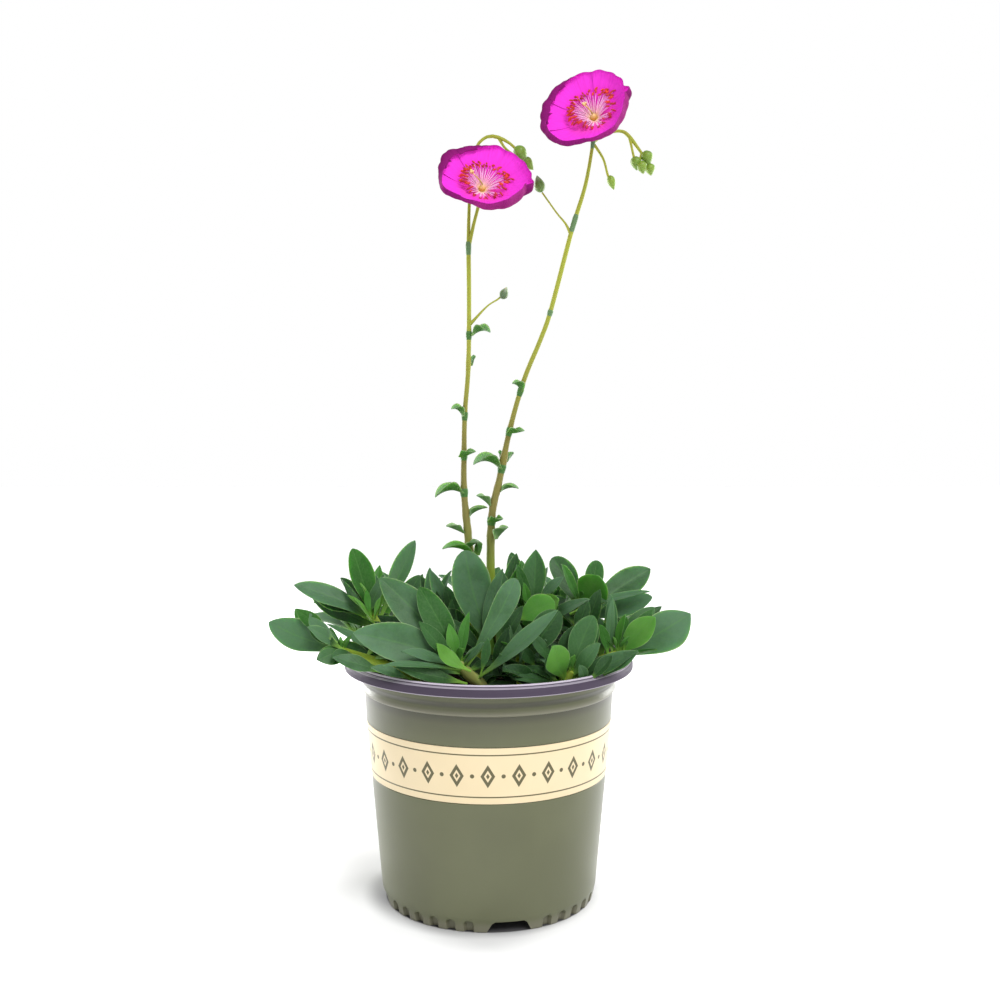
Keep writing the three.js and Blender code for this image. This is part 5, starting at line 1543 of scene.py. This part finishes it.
def flower_place(flower):
    """The directions of a flower's own axes, as columns, and its centre."""
    axis = unit(np.array(flower["faces"], float))
    right = square_to(np.array([1.0, 0, 0]), axis)
    forward = np.cross(axis, right)
    turn = math.radians(flower["turn"])
    spun = right * math.cos(turn) + forward * math.sin(turn)
    return np.column_stack([spun, np.cross(axis, spun), axis]), np.array(flower["centre"], float)


def round_table(turned, table):
    """The values of a table at some angles in degrees, one array for each column past the first."""
    angles, *columns = (np.array(column, float) for column in zip(*table))
    return [np.interp(turned, angles, column, period=360) for column in columns]


def petal_reach(turned, v, draw, reach_by_angle):
    """How far out a petal comes, with a ruffled edge, a notch near its middle and a point at one angle."""
    ruffle = 0.012 * np.sin(5.3 * v + draw.uniform(0, TURN)) + 0.008 * np.sin(13 * v + draw.uniform(0, TURN))
    notch = draw.uniform(0.0, 0.03) * hump(v - draw.uniform(-0.2, 0.2), 0.12)
    point = 0.05 * hump((turned - POINT_ANGLE + 180) % 360 - 180, 7)
    reach = PETAL_LENGTH * (1 - 0.06 * np.abs(v) ** 3 + ruffle - notch + point)
    return reach * round_table(turned, reach_by_angle)[0]


def petal(skin, index, draw, reach_by_angle):
    """A wide petal with a ruffled edge that turns up or over, as the table of the rim says."""
    middle, span, opening = PETALS[index]
    t = np.linspace(PETAL_START, 1, PETAL_ROWS)[:, None]
    v = np.linspace(-1, 1, PETAL_COLUMNS)[None, :]
    width = 0.8 + 0.2 * np.sin(math.pi * np.minimum(t, PETAL_FULL) / (2 * PETAL_FULL))
    angle = math.radians(middle) + v * math.radians(span) * width
    turned = np.degrees(angle) % 360
    curl, share = round_table(turned, RIM_TURN)
    reach = petal_reach(turned, v, draw, reach_by_angle)
    folded = smooth(t, 1 - share, 1 - 0.35 * share)
    steep = np.radians(PETAL_SLOPE + opening * t + curl * folded)
    step = np.diff(t[:, 0], prepend=0)[:, None]
    radius = reach * np.cumsum(np.cos(steep) * step, axis=0)
    height = reach * np.cumsum(np.sin(steep) * step, axis=0)
    pleat = 0.13 * np.sin(28 * v) + 0.35 * np.sin(6.5 * v + draw.uniform(0, TURN))
    height = PETAL_FOOT + height + (0.45 * v + pleat * (1 - folded)) * t
    surface = np.stack([radius * np.cos(angle), radius * np.sin(angle), height], axis=-1)
    sheet(skin, surface, PETAL_THICKNESS, along=t, across=v + PETAL_STRIDE * index)


def add_pistil(skin, x, y, z):
    """The ovary, the bent style, and the lobes of the stigma at x, y, z."""
    tube(skin, curve([(0, 0, *row) for row in OVARY], 16), 16)
    style = [(share * x, share * y, height, radius) for share, height, radius in STYLE]
    tube(skin, curve([*style, (x, y, z, 0.4)], 14), 8)
    for i in range(STIGMA_LOBES):
        angle = i / STIGMA_LOBES * TURN
        lobe = (x + LOBE_REACH * math.cos(angle), y + LOBE_REACH * math.sin(angle))
        tube(skin, curve([(x, y, z - 0.4, 0.5), (*lobe, z + 0.4, 0.75), (*lobe, z + 1.2, 0.5)], 8), 10)


def stamen(skin, index, draw):
    """A filament that leans out from the middle, shorter at the front, with its anther across the end."""
    angle = GOLDEN_ANGLE * index + draw.uniform(-0.3, 0.3)
    lean = 0.5 + 0.5 * math.cos(angle)
    fore = max(0.0, -math.sin(angle))
    if fore > THIN_FRONT and index % 2:
        return
    spread = (STAMEN_SPREAD + STAMEN_LEAN * lean) * math.sqrt(draw.random())
    reach = (STAMEN_NEAREST + spread) * (1 - FRONT_NEARER * fore)
    height = (STAMEN_HEIGHT - STAMEN_DROOP * reach + draw.uniform(-1.2, 1.2)) * (1 - FRONT_LOWER * fore)
    way = np.array([math.cos(angle), math.sin(angle), 0])
    knee = way * reach * 0.5 + UP * (height * draw.uniform(0.52, 0.66))
    head = way * reach + UP * height
    out, up = FILAMENT_FOOT
    places = (way * out + UP * up, knee, head)
    points = curve([(*place, radius) for place, radius in zip(places, FILAMENT_RADII)], 9)
    tube(skin, points, 5, tone=even_rise(len(points), 0.5))
    lie = unit(way + UP * draw.uniform(-0.7, 0.1) + np.cross(way, UP) * draw.uniform(-0.45, 0.45))
    small = 1 - FRONT_SMALLER * fore
    long, wide = small * draw.uniform(1.3, 1.9), small * draw.uniform(0.5, 0.72)
    rows = [(*(head + lie * long * share), wide * thick) for share, thick in ANTHER]
    tube(skin, rows, 7, tone=draw.uniform(0.6, 1.0))


def add_flower(name, flower, materials, seed):
    draw = random.Random(seed)
    petals, stamens, pistil = Skin(), Skin(), Skin()
    for index in range(len(PETALS)):
        petal(petals, index, draw, flower["reach"])
    for i in range(STAMEN_COUNT):
        stamen(stamens, i, draw)
    add_pistil(pistil, *flower["stigma"])
    place = flower_place(flower)
    for skin in (petals, stamens, pistil):
        skin.move(*place)
    piece("petals_of_" + name, petals, materials["petal"], "petal", "petals_" + name)
    piece("stamens_of_" + name, stamens, materials["stamen"], "stamen", "stamens_" + name)
    piece("pistil_of_" + name, pistil, materials["pistil"], "pistil", "pistil_" + name)


# The plant in its pot

STALK_SEED = 40
FLOWER_SEED = 60

add_camera()
add_sky()
add_lights()
add_floor()
materials = {
    "pot": pot_material(),
    "rim": rim_material(),
    "label": label_material(),
    "soil": soil_material(),
    "leaf": leaf_material(),
    "stalk": stalk_material(),
    "stalk_leaf": stalk_leaf_material(),
    "bud": bud_material(),
    "petal": petal_material(),
    "stamen": grainy_material("stamen", 0.6, "tone", STAMEN_TONES),
    "pistil": grainy_material("pistil", 0.5, "along", PISTIL_COLOURS),
}
add_pot(materials["pot"])
add_rim(materials["rim"])
add_label(materials["label"])
add_soil(materials["soil"])
for seed, (name, shoot) in enumerate(SHOOTS.items()):
    add_shoot(name, shoot, materials, seed)
for seed, (name, stalk) in enumerate(STALKS.items()):
    add_stalk(name, stalk, materials, STALK_SEED + seed)
    add_flower(name, stalk["flower"], materials, FLOWER_SEED)
